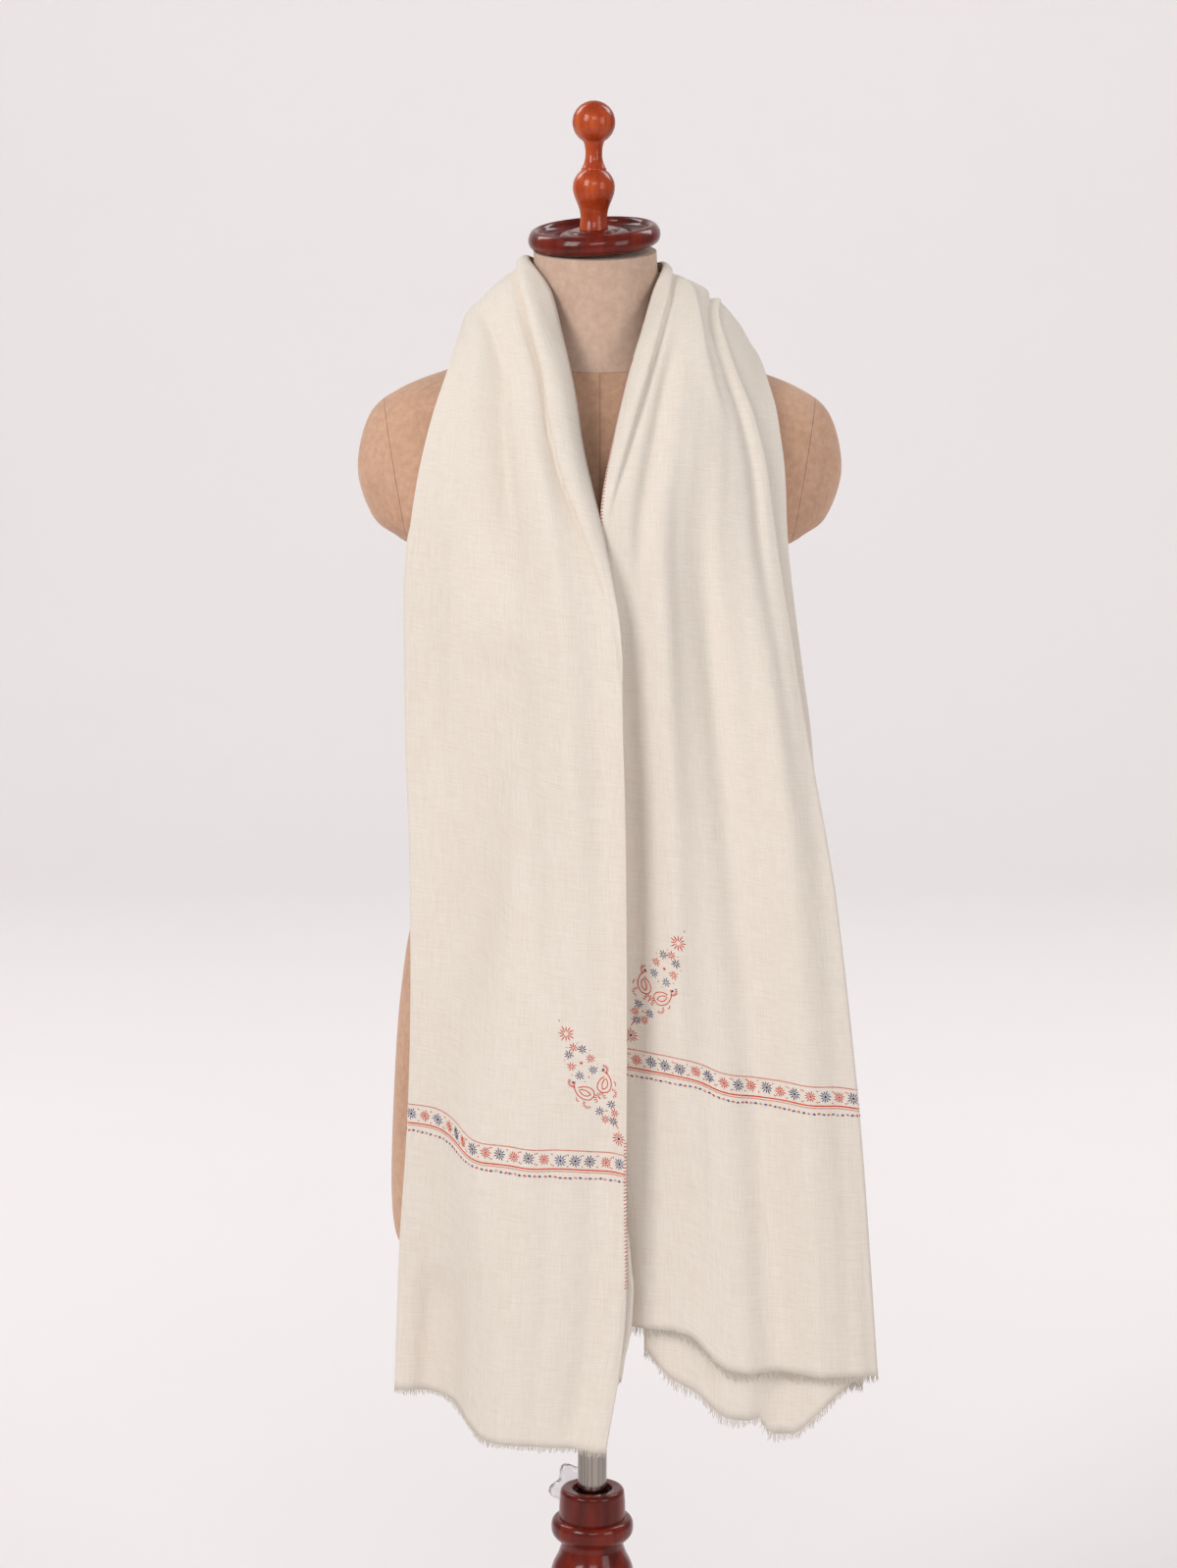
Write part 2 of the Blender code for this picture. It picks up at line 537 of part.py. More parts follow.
def folded_width():
    """The path of the cloth's width through its four layers: (place, across, layers deep, bulge sideways)."""
    turn = np.linspace(0, math.pi, FOLD_SEGMENTS + 2)[1:-1]
    path = []

    def layer(number, start, end):
        nodes = sorted(w for w in ACROSS if min(start, end) <= w <= max(start, end))
        for w in nodes if end > start else nodes[::-1]:
            path.append((number + (w - start) / (end - start), w, float(number), 0.0))

    def fold(number, across, sign):
        for a in turn:
            deep = number - 0.5 - 0.5 * math.cos(a)
            path.append((float(number), across, deep, sign * 0.5 * math.sin(a)))

    layer(0, 0.0, 1.0)
    fold(1, 1.0, 1)
    layer(1, 1.0, INNER_FOLD)
    fold(2, INNER_FOLD, -1)
    layer(2, INNER_FOLD, OUTER_FOLD)
    fold(3, OUTER_FOLD, 1)
    layer(3, OUTER_FOLD, BACK_EDGE)
    return np.array(path)


def cloth_field(body):
    """The front layer over the whole cloth and a little beyond each hem, once clear of the body."""
    lengths = np.linspace(-FIELD_MARGIN, LENGTH + FIELD_MARGIN, FIELD_ROWS)
    across = np.linspace(0, 1, FIELD_COLUMNS)
    points, normals, sideways, pitch = front_layer(lengths, across)
    points = lift_off_body(points, normals, pitch, body)
    surface = unit(np.cross(np.gradient(points, axis=0), np.gradient(points, axis=1)))
    square_on = np.clip(np.abs((surface * normals).sum(axis=2)), 0.6, 1.0)
    pitch = pitch / square_on
    return np.concatenate([points, normals, sideways, pitch[:, :, None]], axis=2)


def cloth_points(lengths, drops, field):
    """The folded cloth at the lengths from the left hem, each of them moved by a drop that varies across it."""
    path = folded_width()
    r = (lengths[:, None] + drops + FIELD_MARGIN) / (LENGTH + 2 * FIELD_MARGIN) * (FIELD_ROWS - 1)
    c = np.broadcast_to(path[:, 1][None, :] * (FIELD_COLUMNS - 1), r.shape)
    found = sample(field, r, c)
    centre, facing, over, gap = found[..., 0:3], unit(found[..., 3:6]), unit(found[..., 6:9]), found[..., 9:]
    return centre - facing * gap * path[:, 2][None, :, None] + over * gap * path[:, 3][None, :, None]


def sample(grid, r, c):
    """Values of a grid between its points, row r and column c."""
    i = np.clip(np.floor(r).astype(int), 0, grid.shape[0] - 2)
    j = np.clip(np.floor(c).astype(int), 0, grid.shape[1] - 2)
    s, t = (r - i)[:, :, None], (c - j)[:, :, None]
    low = grid[i, j] * (1 - t) + grid[i, j + 1] * t
    high = grid[i + 1, j] * (1 - t) + grid[i + 1, j + 1] * t
    return low * (1 - s) + high * s


def add_cloth(name, points, finish, collection):
    mesh = mesh_of_grid(name, points, False)
    mesh.shade_smooth()
    made = add_object(name, mesh, finish, collection)
    wall = made.modifiers.new("wall", "SOLIDIFY")
    wall.thickness = CLOTH
    wall.offset = 0.0
    wall.use_even_offset = False
    return made


def build_shawl(body, finishes, collection):
    field = cloth_field(body)
    place = folded_width()[:, 0]
    drops = np.array(HEM_DROPS, float)
    left_drop = -np.interp(place, drops[:, 0], drops[:, 1])
    right_drop = np.interp(place, drops[:, 0], drops[:, 2])
    share = np.linspace(0, 1, ROWS_PANEL + 1)
    from_hem = share**0.75
    left_rows = from_hem * (LEFT_SEAM - GAP)
    right_rows = LENGTH - from_hem[::-1] * (LENGTH - RIGHT_SEAM - GAP)
    neck_rows = np.linspace(LEFT_SEAM + GAP, RIGHT_SEAM - GAP, ROWS_NECK + 1)
    left_fade = np.clip(1 - left_rows / HEM_FADE, 0, 1)[:, None] * left_drop
    right_fade = np.clip(1 - (LENGTH - right_rows) / HEM_FADE, 0, 1)[:, None] * right_drop
    left_end = np.array([-FRINGE_LENGTH, -2 * GAP])
    right_end = LENGTH + np.array([2 * GAP, FRINGE_LENGTH])
    wool, fringe = finishes["wool"], finishes["fringe"]
    stretches = [
        ("shawl_left_panel", left_rows, left_fade, wool),
        ("shawl_neck", neck_rows, 0 * left_drop[None, :], wool),
        ("shawl_right_panel", right_rows, right_fade, wool),
        ("shawl_left_fringe", left_end, left_drop[None, :], fringe),
        ("shawl_right_fringe", right_end, right_drop[None, :], fringe),
    ]
    for name, lengths, moved, finish in stretches:
        add_cloth(name, cloth_points(lengths, moved, field), finish, collection)


def body_tree(*grids):
    """A search tree over the body's surface."""
    verts, faces = [], []
    for grid in grids:
        rows, steps = grid.shape[:2]
        base = len(verts)
        verts += [Vector(p) for p in grid.reshape(-1, 3)]
        for r in range(rows - 1):
            for c in range(steps):
                d = (c + 1) % steps
                quad = (r * steps + c, r * steps + d, (r + 1) * steps + d, (r + 1) * steps + c)
                faces.append(tuple(base + k for k in quad))
    return BVHTree.FromPolygons(verts, faces)


def main():
    clear_scene()
    collection = bpy.data.collections.new("pashmina_shawl_on_form")
    bpy.context.scene.collection.children.link(collection)
    cutters = bpy.data.collections.new("cutters")
    bpy.context.scene.collection.children.link(cutters)
    finishes = {
        "wool": material("ivory_pashmina", (0.78, 0.70, 0.60), 0.9),
        "fringe": material("ivory_fringe", (0.82, 0.76, 0.68), 0.95),
        "linen": material("beige_suedecloth", (0.52, 0.37, 0.28), 0.95),
        "red_wood": material("red_stained_wood", (0.36, 0.08, 0.03), 0.25),
        "dark_wood": material("dark_stained_wood", (0.12, 0.02, 0.01), 0.22),
        "steel": material("polished_steel", (0.60, 0.56, 0.52), 0.22, 1.0),
        "dark_steel": material("dark_steel", (0.10, 0.09, 0.08), 0.5, 1.0),
        "clear_plastic": material("clear_plastic", (0.85, 0.84, 0.86), 0.1),
    }
    torso_points, neck_points = build_form(finishes, collection)
    build_cap_and_finial(finishes, collection)
    build_stand(finishes, collection, cutters)
    build_lock(finishes, collection)
    build_shawl(body_tree(torso_points, neck_points), finishes, collection)


main()
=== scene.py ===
"""The pashmina shawl on its dress form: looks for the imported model. Metres, +Z up, the front faces -Y."""

import math
from collections import namedtuple
from contextlib import contextmanager

import bmesh
import bpy
import numpy as np
from mathutils import Matrix, Vector
from mathutils.bvhtree import BVHTree


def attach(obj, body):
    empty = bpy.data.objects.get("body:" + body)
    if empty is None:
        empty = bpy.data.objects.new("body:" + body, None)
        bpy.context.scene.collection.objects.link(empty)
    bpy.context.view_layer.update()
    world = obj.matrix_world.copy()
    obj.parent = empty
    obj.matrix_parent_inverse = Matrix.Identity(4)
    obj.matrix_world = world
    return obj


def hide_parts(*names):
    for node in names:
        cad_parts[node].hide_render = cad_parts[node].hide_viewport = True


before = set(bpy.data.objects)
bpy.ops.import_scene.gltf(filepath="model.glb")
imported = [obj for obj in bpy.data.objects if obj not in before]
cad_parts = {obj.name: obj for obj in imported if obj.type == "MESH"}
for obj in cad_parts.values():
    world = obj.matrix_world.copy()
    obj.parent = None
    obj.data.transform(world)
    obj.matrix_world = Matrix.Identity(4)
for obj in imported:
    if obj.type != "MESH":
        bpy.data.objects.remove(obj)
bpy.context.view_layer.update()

# ---------------------------------------------------------------- sizes of the form and its stand

GAP = 0.0003
BASE_HEIGHT = 0.040
BORE_RADIUS, BORE_FLOOR, BORE_CHAMFER = 0.0176, 0.045, 0.0005
LOCK_HEIGHT, LOCK_AZIMUTH = 0.389, math.radians(105)
KNOB_START, KNOB_END = 0.0443, 0.0560
KNOB_LOBES, KNOB_MEAN_RADIUS, KNOB_WAVE = 6, 0.0230, 0.0035
KNOB_RIM_POWER, KNOB_FACE_POWER = 0.35, 0.6
TURNED_CREASE, CUT_CREASE = math.radians(38), math.radians(50)

UNDERARM, ARMHOLE_X, ARMHOLE_Z, ARMHOLE_LEAN = 1.18, 0.170, 1.305, math.radians(10)
# The form's axis bows sideways above the hip and comes part of the way back at the neck
BODY_BOW, BOW_START, BOW_SPAN = 0.006, 0.75, 0.50
NECK_RETURN, RETURN_START, RETURN_SPAN = 0.004, 1.39, 0.10
NECK_CENTRE = (0.002, 0.004, 1.4835)
CAP_FORWARD, CAP_ROLL = math.radians(9), math.radians(-3.5)

BodyRing = namedtuple("BodyRing", "z half_width front back tilt squareness", defaults=(0.0, 2.1))
BODY = [
    BodyRing(0.625, 0.150, 0.080, 0.096),
    BodyRing(0.629, 0.163, 0.090, 0.107),
    BodyRing(0.645, 0.171, 0.095, 0.113),
    BodyRing(0.690, 0.1735, 0.097, 0.117),
    BodyRing(0.780, 0.170, 0.097, 0.120),
    BodyRing(0.850, 0.165, 0.095, 0.117),
    BodyRing(0.917, 0.155, 0.090, 0.104),
    BodyRing(0.970, 0.134, 0.085, 0.089),
    BodyRing(1.020, 0.120, 0.083, 0.080),
    BodyRing(1.080, 0.125, 0.090, 0.084),
    BodyRing(1.140, 0.139, 0.107, 0.093, 0.00, 2.2),
    BodyRing(1.185, 0.148, 0.117, 0.098, 0.00, 2.3),
    BodyRing(1.228, 0.150, 0.111, 0.101, 0.00, 2.2),
    BodyRing(1.244, 0.170, 0.107, 0.102),
    BodyRing(1.260, 0.190, 0.102, 0.103, 0.00, 2.0),
    BodyRing(1.300, 0.2025, 0.090, 0.102, 0.00, 2.0),
    BodyRing(1.345, 0.192, 0.073, 0.093, 0.05, 2.0),
    BodyRing(1.366, 0.166, 0.064, 0.082, 0.12, 2.0),
    BodyRing(1.380, 0.124, 0.057, 0.070, 0.20, 2.0),
    BodyRing(1.389, 0.090, 0.054, 0.061, 0.26, 2.0),
    BodyRing(1.397, 0.067, 0.052, 0.0565, 0.30, 2.0),
]
NECK = [
    BodyRing(1.397, 0.0668, 0.0520, 0.0562, 0.30, 2.0),
    BodyRing(1.411, 0.0580, 0.0500, 0.0535, 0.29, 2.0),
    BodyRing(1.435, 0.0530, 0.0485, 0.0510, 0.26, 2.0),
    BodyRing(1.460, 0.0515, 0.0480, 0.0500, 0.21, 2.0),
    BodyRing(1.4795, 0.0510, 0.0480, 0.0495, 0.158, 2.0),
]
FINIAL_BALL_RADIUS, FINIAL_BALL_HEIGHT = 0.0178, 0.0866
FINIAL = [
    (0.0088, 0.0711), (0.0080, 0.0690), (0.0071, 0.0640), (0.0070, 0.0600),
    (0.0077, 0.0550), (0.0096, 0.0500), (0.0105, 0.0488), (0.0105, 0.0475),
    (0.0124, 0.0458), (0.0152, 0.0422), (0.0170, 0.0378), (0.0175, 0.0335),
    (0.0169, 0.0288), (0.0153, 0.0240), (0.0134, 0.0195), (0.0119, 0.0150),
    (0.0112, 0.0105), (0.0112, 0.0060), (0.0119, 0.0010), (0.0124, -0.0060),
]
NECK_CAP = [
    (0.0, 0.0145), (0.0140, 0.0145), (0.0195, 0.0140), (0.0215, 0.0125),
    (0.0270, 0.0120), (0.0292, 0.0105), (0.0300, 0.0085), (0.0370, 0.0092),
    (0.0440, 0.0120), (0.0462, 0.0155), (0.0480, 0.0165), (0.0515, 0.0155),
    (0.0538, 0.0125), (0.0550, 0.0085), (0.0545, 0.0045), (0.0525, 0.0015),
    (0.0490, 0.0), (0.0, 0.0),
]
POST = [
    (0.0210, 0.4075), (0.0260, 0.4073), (0.0277, 0.4053), (0.0284, 0.4010),
    (0.0290, 0.3900), (0.0291, 0.3815), (0.0330, 0.3805), (0.0353, 0.3775),
    (0.0360, 0.3730), (0.0352, 0.3675), (0.0325, 0.3635), (0.0280, 0.3600),
    (0.0272, 0.3555), (0.0300, 0.3475), (0.0345, 0.3380), (0.0375, 0.3250),
    (0.0385, 0.3100), (0.0372, 0.2930), (0.0335, 0.2700), (0.0295, 0.2450),
    (0.0272, 0.2200), (0.0268, 0.2000), (0.0282, 0.1830), (0.0318, 0.1790),
    (0.0332, 0.1730), (0.0318, 0.1670), (0.0285, 0.1630), (0.0305, 0.1500),
    (0.0350, 0.1280), (0.0385, 0.1050), (0.0390, 0.0850), (0.0360, 0.0640),
    (0.0330, 0.0560), (0.0375, 0.0520), (0.0420, 0.0470),
]
BASE = [
    (0.0, 0.0400), (0.0480, 0.0400), (0.0540, 0.0380), (0.0700, 0.0350),
    (0.1150, 0.0320), (0.1500, 0.0300), (0.1560, 0.0285), (0.1570, 0.0255),
    (0.1680, 0.0240), (0.1770, 0.0195), (0.1800, 0.0120), (0.1785, 0.0040),
    (0.1750, 0.0), (0.0, 0.0),
]
# Rows of a profile where a turner leaves a crisp corner, which stay sharp when the profile is smoothed
POST_CORNERS = (0, 5, 11, 12, 22, 26, 31, 34)
CAP_CORNERS = (0, 3, 6, 16, 17)
BASE_CORNERS = (0, 1, 6, 7, 12, 13)
FINIAL_CORNERS = (0, 5, 6, 7)

# Where the folds behind the front layer and the back edge lie across it, as shares of its width
INNER_FOLD, OUTER_FOLD, BACK_EDGE = 0.10, 0.94, 0.19
# Room left for the cloth itself, and between it and the form
CLOTH, BODY_CLEARANCE = 0.0016, 0.004

# Across the front layer at a distance from a hem: its two edges, its bow, where and how sharply it bends,
# and the distance between layers
SECTION = "hem_m in_x in_y in_z out_x out_y out_z belly fold_at fold_share pitch"
Section = namedtuple("Section", SECTION, defaults=(0.0, 0.0020))
LEFT = [
    Section(0.000, 0.013, -0.149, 0.494, -0.166, -0.078, 0.524, 0.002, 0.67, 0.72, 0.0060),
    Section(0.120, 0.027, -0.149, 0.612, -0.161, -0.077, 0.643, 0.003, 0.70, 0.68, 0.0060),
    Section(0.235, 0.029, -0.149, 0.732, -0.152, -0.076, 0.758, 0.004, 0.775, 0.62, 0.0058),
    Section(0.430, 0.030, -0.150, 0.921, -0.150, -0.076, 0.953, 0.007, 0.58, 0.48, 0.0054),
    Section(0.600, 0.027, -0.150, 1.090, -0.153, -0.077, 1.123, 0.010, 0.52, 0.30, 0.0050),
    Section(0.710, 0.020, -0.149, 1.199, -0.151, -0.080, 1.228, 0.010, 0.48, 0.14, 0.0040),
    Section(0.785, 0.004, -0.136, 1.272, -0.142, -0.078, 1.296, 0.010, 0.45, 0.08, 0.0028),
    Section(0.845, -0.009, -0.112, 1.327, -0.131, -0.064, 1.344, 0.012, 0.45, 0.00, 0.0021),
    Section(0.900, -0.018, -0.090, 1.377, -0.119, -0.040, 1.382, 0.014, 0.45),
    Section(0.950, -0.032, -0.067, 1.424, -0.114, -0.002, 1.400, 0.016, 0.45),
    Section(0.995, -0.045, -0.038, 1.460, -0.110, 0.040, 1.399, 0.017, 0.45),
    Section(1.035, -0.052, -0.002, 1.474, -0.102, 0.080, 1.380, 0.015, 0.45),
    Section(1.075, -0.046, 0.040, 1.474, -0.084, 0.110, 1.350, 0.012, 0.45),
    Section(1.115, -0.026, 0.061, 1.469, -0.046, 0.129, 1.325, 0.010, 0.45),
]
NAPE = Section(1.145, 0.000, 0.067, 1.466, 0.000, 0.135, 1.315, 0.008, 0.45)
RIGHT = [
    Section(0.000, 0.025, -0.128, 0.594, 0.234, -0.142, 0.557, 0.005, 0.34, 0.85, 0.0060),
    Section(0.228, 0.018, -0.129, 0.820, 0.216, -0.138, 0.787, 0.006, 0.40, 0.30, 0.0056),
    Section(0.430, 0.014, -0.131, 1.018, 0.193, -0.128, 0.987, 0.008, 0.36, 0.20, 0.0050),
    Section(0.600, 0.009, -0.134, 1.186, 0.170, -0.106, 1.156, 0.010, 0.30, 0.12, 0.0038),
    Section(0.695, 0.007, -0.130, 1.277, 0.160, -0.088, 1.250, 0.010, 0.30, 0.10, 0.0028),
    Section(0.755, 0.017, -0.112, 1.330, 0.157, -0.072, 1.312, 0.012, 0.30, 0.00, 0.0021),
    Section(0.810, 0.029, -0.090, 1.377, 0.149, -0.048, 1.361, 0.015, 0.30),
    Section(0.860, 0.042, -0.065, 1.419, 0.139, -0.014, 1.395, 0.019, 0.30, 0.00, 0.0010),
    Section(0.905, 0.052, -0.034, 1.450, 0.130, 0.030, 1.402, 0.020, 0.30, 0.00, 0.0009),
    Section(0.950, 0.055, 0.004, 1.466, 0.116, 0.074, 1.383, 0.018, 0.30, 0.00, 0.0010),
    Section(0.990, 0.048, 0.044, 1.472, 0.089, 0.108, 1.350, 0.013, 0.30),
    Section(1.030, 0.027, 0.061, 1.469, 0.046, 0.129, 1.325, 0.010, 0.30),
]
LENGTH = NAPE.hem_m + 1.060

# ---------------------------------------------------------------- the cloth's finer shape

# A ridge (+) or a trough (-) by length from the left hem and place across.
# A lipped one drops fast on its outer side.
FOLD = "start_m end_m start_across end_across height half_width lipped"
Fold = namedtuple("Fold", FOLD, defaults=(False,))
FOLDS = [
    Fold(0.00, 0.50, 0.87, 0.86, -0.0045, 0.060),
    Fold(0.00, 0.48, 0.42, 0.42, 0.0055, 0.120),
    Fold(0.00, 0.36, 0.15, 0.15, -0.0035, 0.080),
    Fold(0.25, 0.95, 0.42, 0.52, -0.0075, 0.075),
    Fold(0.42, 0.95, 0.21, 0.28, 0.0075, 0.090),
    Fold(0.52, 1.00, 0.76, 0.72, 0.0065, 0.090),
    Fold(0.72, 1.00, 0.49, 0.55, -0.0060, 0.060),
    Fold(0.90, 1.12, 0.75, 0.75, 0.0040, 0.240),
    Fold(1.25, 1.44, 0.10, 0.66, 0.0042, 0.050, lipped=True),
    Fold(1.32, 1.62, 0.26, 0.20, -0.0060, 0.055),
    Fold(1.50, 2.205, 0.11, 0.05, -0.0040, 0.070),
    Fold(1.42, 2.12, 0.28, 0.27, 0.0085, 0.080),
    Fold(1.42, 2.205, 0.50, 0.62, -0.0090, 0.080),
    Fold(1.46, 2.205, 0.86, 0.80, 0.0075, 0.090),
    Fold(1.98, 2.205, 0.34, 0.30, 0.0040, 0.050),
]
FOLD_FADE = 0.3
LIP_STEEP, LIP_GENTLE = 3.5, 0.6
# The inner edge rolls over on itself beside the neck: how wide the roll is and how high it stands
Roll = namedtuple("Roll", "length_m across height")
ROLLS = [
    Roll(0.00, 0.020, 0.0),
    Roll(0.70, 0.040, 0.0),
    Roll(0.76, 0.090, 0.0040),
    Roll(0.82, 0.165, 0.0070),
    Roll(0.88, 0.190, 0.0080),
    Roll(0.94, 0.185, 0.0080),
    Roll(1.00, 0.130, 0.0055),
    Roll(1.06, 0.090, 0.0030),
    Roll(1.13, 0.080, 0.0010),
    Roll(1.20, 0.080, 0.0015),
    Roll(1.27, 0.090, 0.0035),
    Roll(1.33, 0.110, 0.0045),
    Roll(1.40, 0.110, 0.0045),
    Roll(1.46, 0.080, 0.0030),
    Roll(1.53, 0.040, 0.0),
    Roll(2.205, 0.020, 0.0),
]
# The valley beside a roll: where it starts, its share of the roll's height, and its two half widths
VALLEY_START, VALLEY_SHARE = 0.004, 0.75
VALLEY_NEAR, VALLEY_FAR = 0.010, 0.050
# How far the front layer's free edge bends in over the layers behind it, in layers
Curl = namedtuple("Curl", "length_m layers")
CURLS = [Curl(0.0, 0.5), Curl(0.76, 0.6), Curl(0.90, 2.6), Curl(1.02, 4.2), Curl(1.27, 4.2)]
CURLS += [Curl(1.38, 2.6), Curl(1.50, 0.6), Curl(2.205, 0.5)]
CURL_ACROSS = 0.11
# Over the right shoulder the front layer's outer fold stops short of the layers behind it
Tuck = namedtuple("Tuck", "length_m share")
TUCKS = [Tuck(0.0, 0.0), Tuck(1.16, 0.0), Tuck(1.22, 0.22), Tuck(1.28, 0.42), Tuck(1.33, 0.47)]
TUCKS += [Tuck(1.37, 0.34), Tuck(1.41, 0.21), Tuck(1.45, 0.14), Tuck(1.50, 0.090)]
TUCKS += [Tuck(1.56, 0.062), Tuck(1.66, 0.036), Tuck(1.80, 0.0), Tuck(2.205, 0.0)]
TUCK_VALLEY, TUCK_VALLEY_INSIDE, TUCK_VALLEY_WIDTH = 0.0045, 0.085, 0.045
# The shares of tuck at which its valley and the layers behind are fully out
TUCK_ONSET, BACK_ONSET = 0.06, 0.04
# Where slivers of the layers behind show: (start, stop, fade) in length, and how far out they reach
LOW_SLIVER, LOW_SLIVER_REACH = (0.02, 0.175, 0.05), 0.012
ARM_SLIVER, ARM_SLIVER_REACH = (0.40, 0.82, 0.10), 0.09
# Towards the left hem the second fold moves out almost to the front layer's edge
SPREAD, SPREAD_LENGTH, SPREAD_FADE = 0.085, 0.26, 0.10
# The left hem's inner corner tips forward past a slanting crease
CORNER_LENGTH, CORNER_ACROSS, CORNER_TIP = 0.068, 0.29, 0.009
# Each end's hem, by place through the folded width: how much longer (+) each layer hangs than the front one
HemDrop = namedtuple("HemDrop", "place left right")
HEM_DROPS = [
    HemDrop(0.00, 0.000, 0.000),
    HemDrop(1.00, 0.000, 0.000),
    HemDrop(1.10, -0.004, 0.006),
    HemDrop(1.26, -0.010, 0.036),
    HemDrop(1.34, -0.014, 0.054),
    HemDrop(1.46, -0.018, 0.057),
    HemDrop(1.49, -0.019, 0.041),
    HemDrop(1.66, -0.026, 0.044),
    HemDrop(1.81, -0.035, 0.048),
    HemDrop(1.90, -0.044, 0.044),
    HemDrop(1.97, -0.055, 0.028),
    HemDrop(2.00, -0.062, 0.022),
    HemDrop(3.00, -0.040, 0.010),
    HemDrop(4.00, -0.045, 0.004),
]
HEM_FADE = 0.16

# The grid: close rows up to these lengths from the two hems, and the spaces across each layer
FINE_LEFT, FINE_RIGHT = 0.62, 0.60
ROWS_LOW, ROWS_HIGH = 84, 176
LAYER_NODES = (60, 34, 14, 12)
TURN_NODES = 5
# How strongly the front layer's columns crowd towards its two edges
CROWDING = 0.09
WALL = 0.0005


def smoothstep(t):
    t = np.clip(t, 0.0, 1.0)
    return t * t * (3 - 2 * t)


def unit(vectors):
    return vectors / np.maximum(np.linalg.norm(vectors, axis=-1, keepdims=True), 1e-12)


def spline(at, table, places):
    """Smooth values at the places along a table of numbers, one row for each of the lengths in at."""
    at, table = np.asarray(at, float), np.asarray(table, float)
    slopes = np.gradient(table, at, axis=0)
    places = np.asarray(places, float)
    i = np.clip(np.searchsorted(at, places, side="right") - 1, 0, len(at) - 2)
    span = at[i + 1] - at[i]
    t = ((np.clip(places, at[0], at[-1]) - at[i]) / span)[:, None]
    span = span[:, None]
    near = (2 * t**3 - 3 * t**2 + 1) * table[i] + (t**3 - 2 * t**2 + t) * span * slopes[i]
    far = (3 * t**2 - 2 * t**3) * table[i + 1] + (t**3 - t**2) * span * slopes[i + 1]
    return near + far


def sample(grid, r, c):
    """Values of a grid between its points, row r and column c."""
    i = np.clip(np.floor(r).astype(int), 0, grid.shape[0] - 2)
    j = np.clip(np.floor(c).astype(int), 0, grid.shape[1] - 2)
    s, t = (r - i)[..., None], (c - j)[..., None]
    low = grid[i, j] * (1 - t) + grid[i, j + 1] * t
    high = grid[i + 1, j] * (1 - t) + grid[i + 1, j + 1] * t
    return low * (1 - s) + high * s


# ---------------------------------------------------------------- materials


class Shader:
    """A small helper round one material's node tree."""

    def __init__(self, name):
        self.material = bpy.data.materials.new(name)
        self.material.use_nodes = True
        self.tree = self.material.node_tree
        self.principled = self.tree.nodes["Principled BSDF"]

    def node(self, kind, **settings):
        made = self.tree.nodes.new(kind)
        for key, value in settings.items():
            setattr(made, key, value)
        return made

    def link(self, out, into):
        self.tree.links.new(out, into)

    def coords(self, output, scale):
        source = self.node("ShaderNodeTexCoord")
        mapping = self.node("ShaderNodeMapping")
        mapping.inputs["Scale"].default_value = scale
        self.link(source.outputs[output], mapping.inputs["Vector"])
        return mapping.outputs["Vector"]

    def noise(self, vector, detail, rough):
        made = self.node("ShaderNodeTexNoise")
        made.inputs["Scale"].default_value = 1.0
        made.inputs["Detail"].default_value = detail
        made.inputs["Roughness"].default_value = rough
        self.link(vector, made.inputs["Vector"])
        return made.outputs["Fac"]

    def grain(self, scale, detail, rough, output="Object"):
        """Noise on coordinates that are scaled along each axis."""
        return self.noise(self.coords(output, scale), detail, rough)

    def ramp(self, fac, stops):
        made = self.node("ShaderNodeValToRGB")
        band = made.color_ramp
        while len(band.elements) < len(stops):
            band.elements.new(0.5)
        for element, (place, colour) in zip(band.elements, stops):
            element.position = place
            element.color = (*colour, 1.0)
        self.link(fac, made.inputs["Fac"])
        return made.outputs["Color"]

    def maths(self, operation, a, b=None):
        made = self.node("ShaderNodeMath", operation=operation)
        for socket, value in zip(made.inputs, (a, b)):
            if value is None:
                continue
            if isinstance(value, (int, float)):
                socket.default_value = value
            else:
                self.link(value, socket)
        return made.outputs[0]

    def weighted(self, a, a_share, b, b_share):
        return self.maths("ADD", self.maths("MULTIPLY", a, a_share), self.maths("MULTIPLY", b, b_share))

    def mix(self, fac, a, b, kind="MIX"):
        made = self.node("ShaderNodeMix", data_type="RGBA", blend_type=kind)
        for socket, value in ((made.inputs[0], fac), (made.inputs[6], a), (made.inputs[7], b)):
            if isinstance(value, (int, float)):
                socket.default_value = value
            elif isinstance(value, tuple):
                socket.default_value = (*value, 1.0)
            else:
                self.link(value, socket)
        return made.outputs[2]

    def bump(self, height, strength, distance):
        made = self.node("ShaderNodeBump")
        made.inputs["Strength"].default_value = strength
        made.inputs["Distance"].default_value = distance
        self.link(height, made.inputs["Height"])
        self.link(made.outputs["Normal"], self.principled.inputs["Normal"])

    def set(self, **values):
        for key, value in values.items():
            socket = self.principled.inputs[key.replace("_", " ")]
            if hasattr(value, "is_output"):
                self.link(value, socket)
            else:
                socket.default_value = value


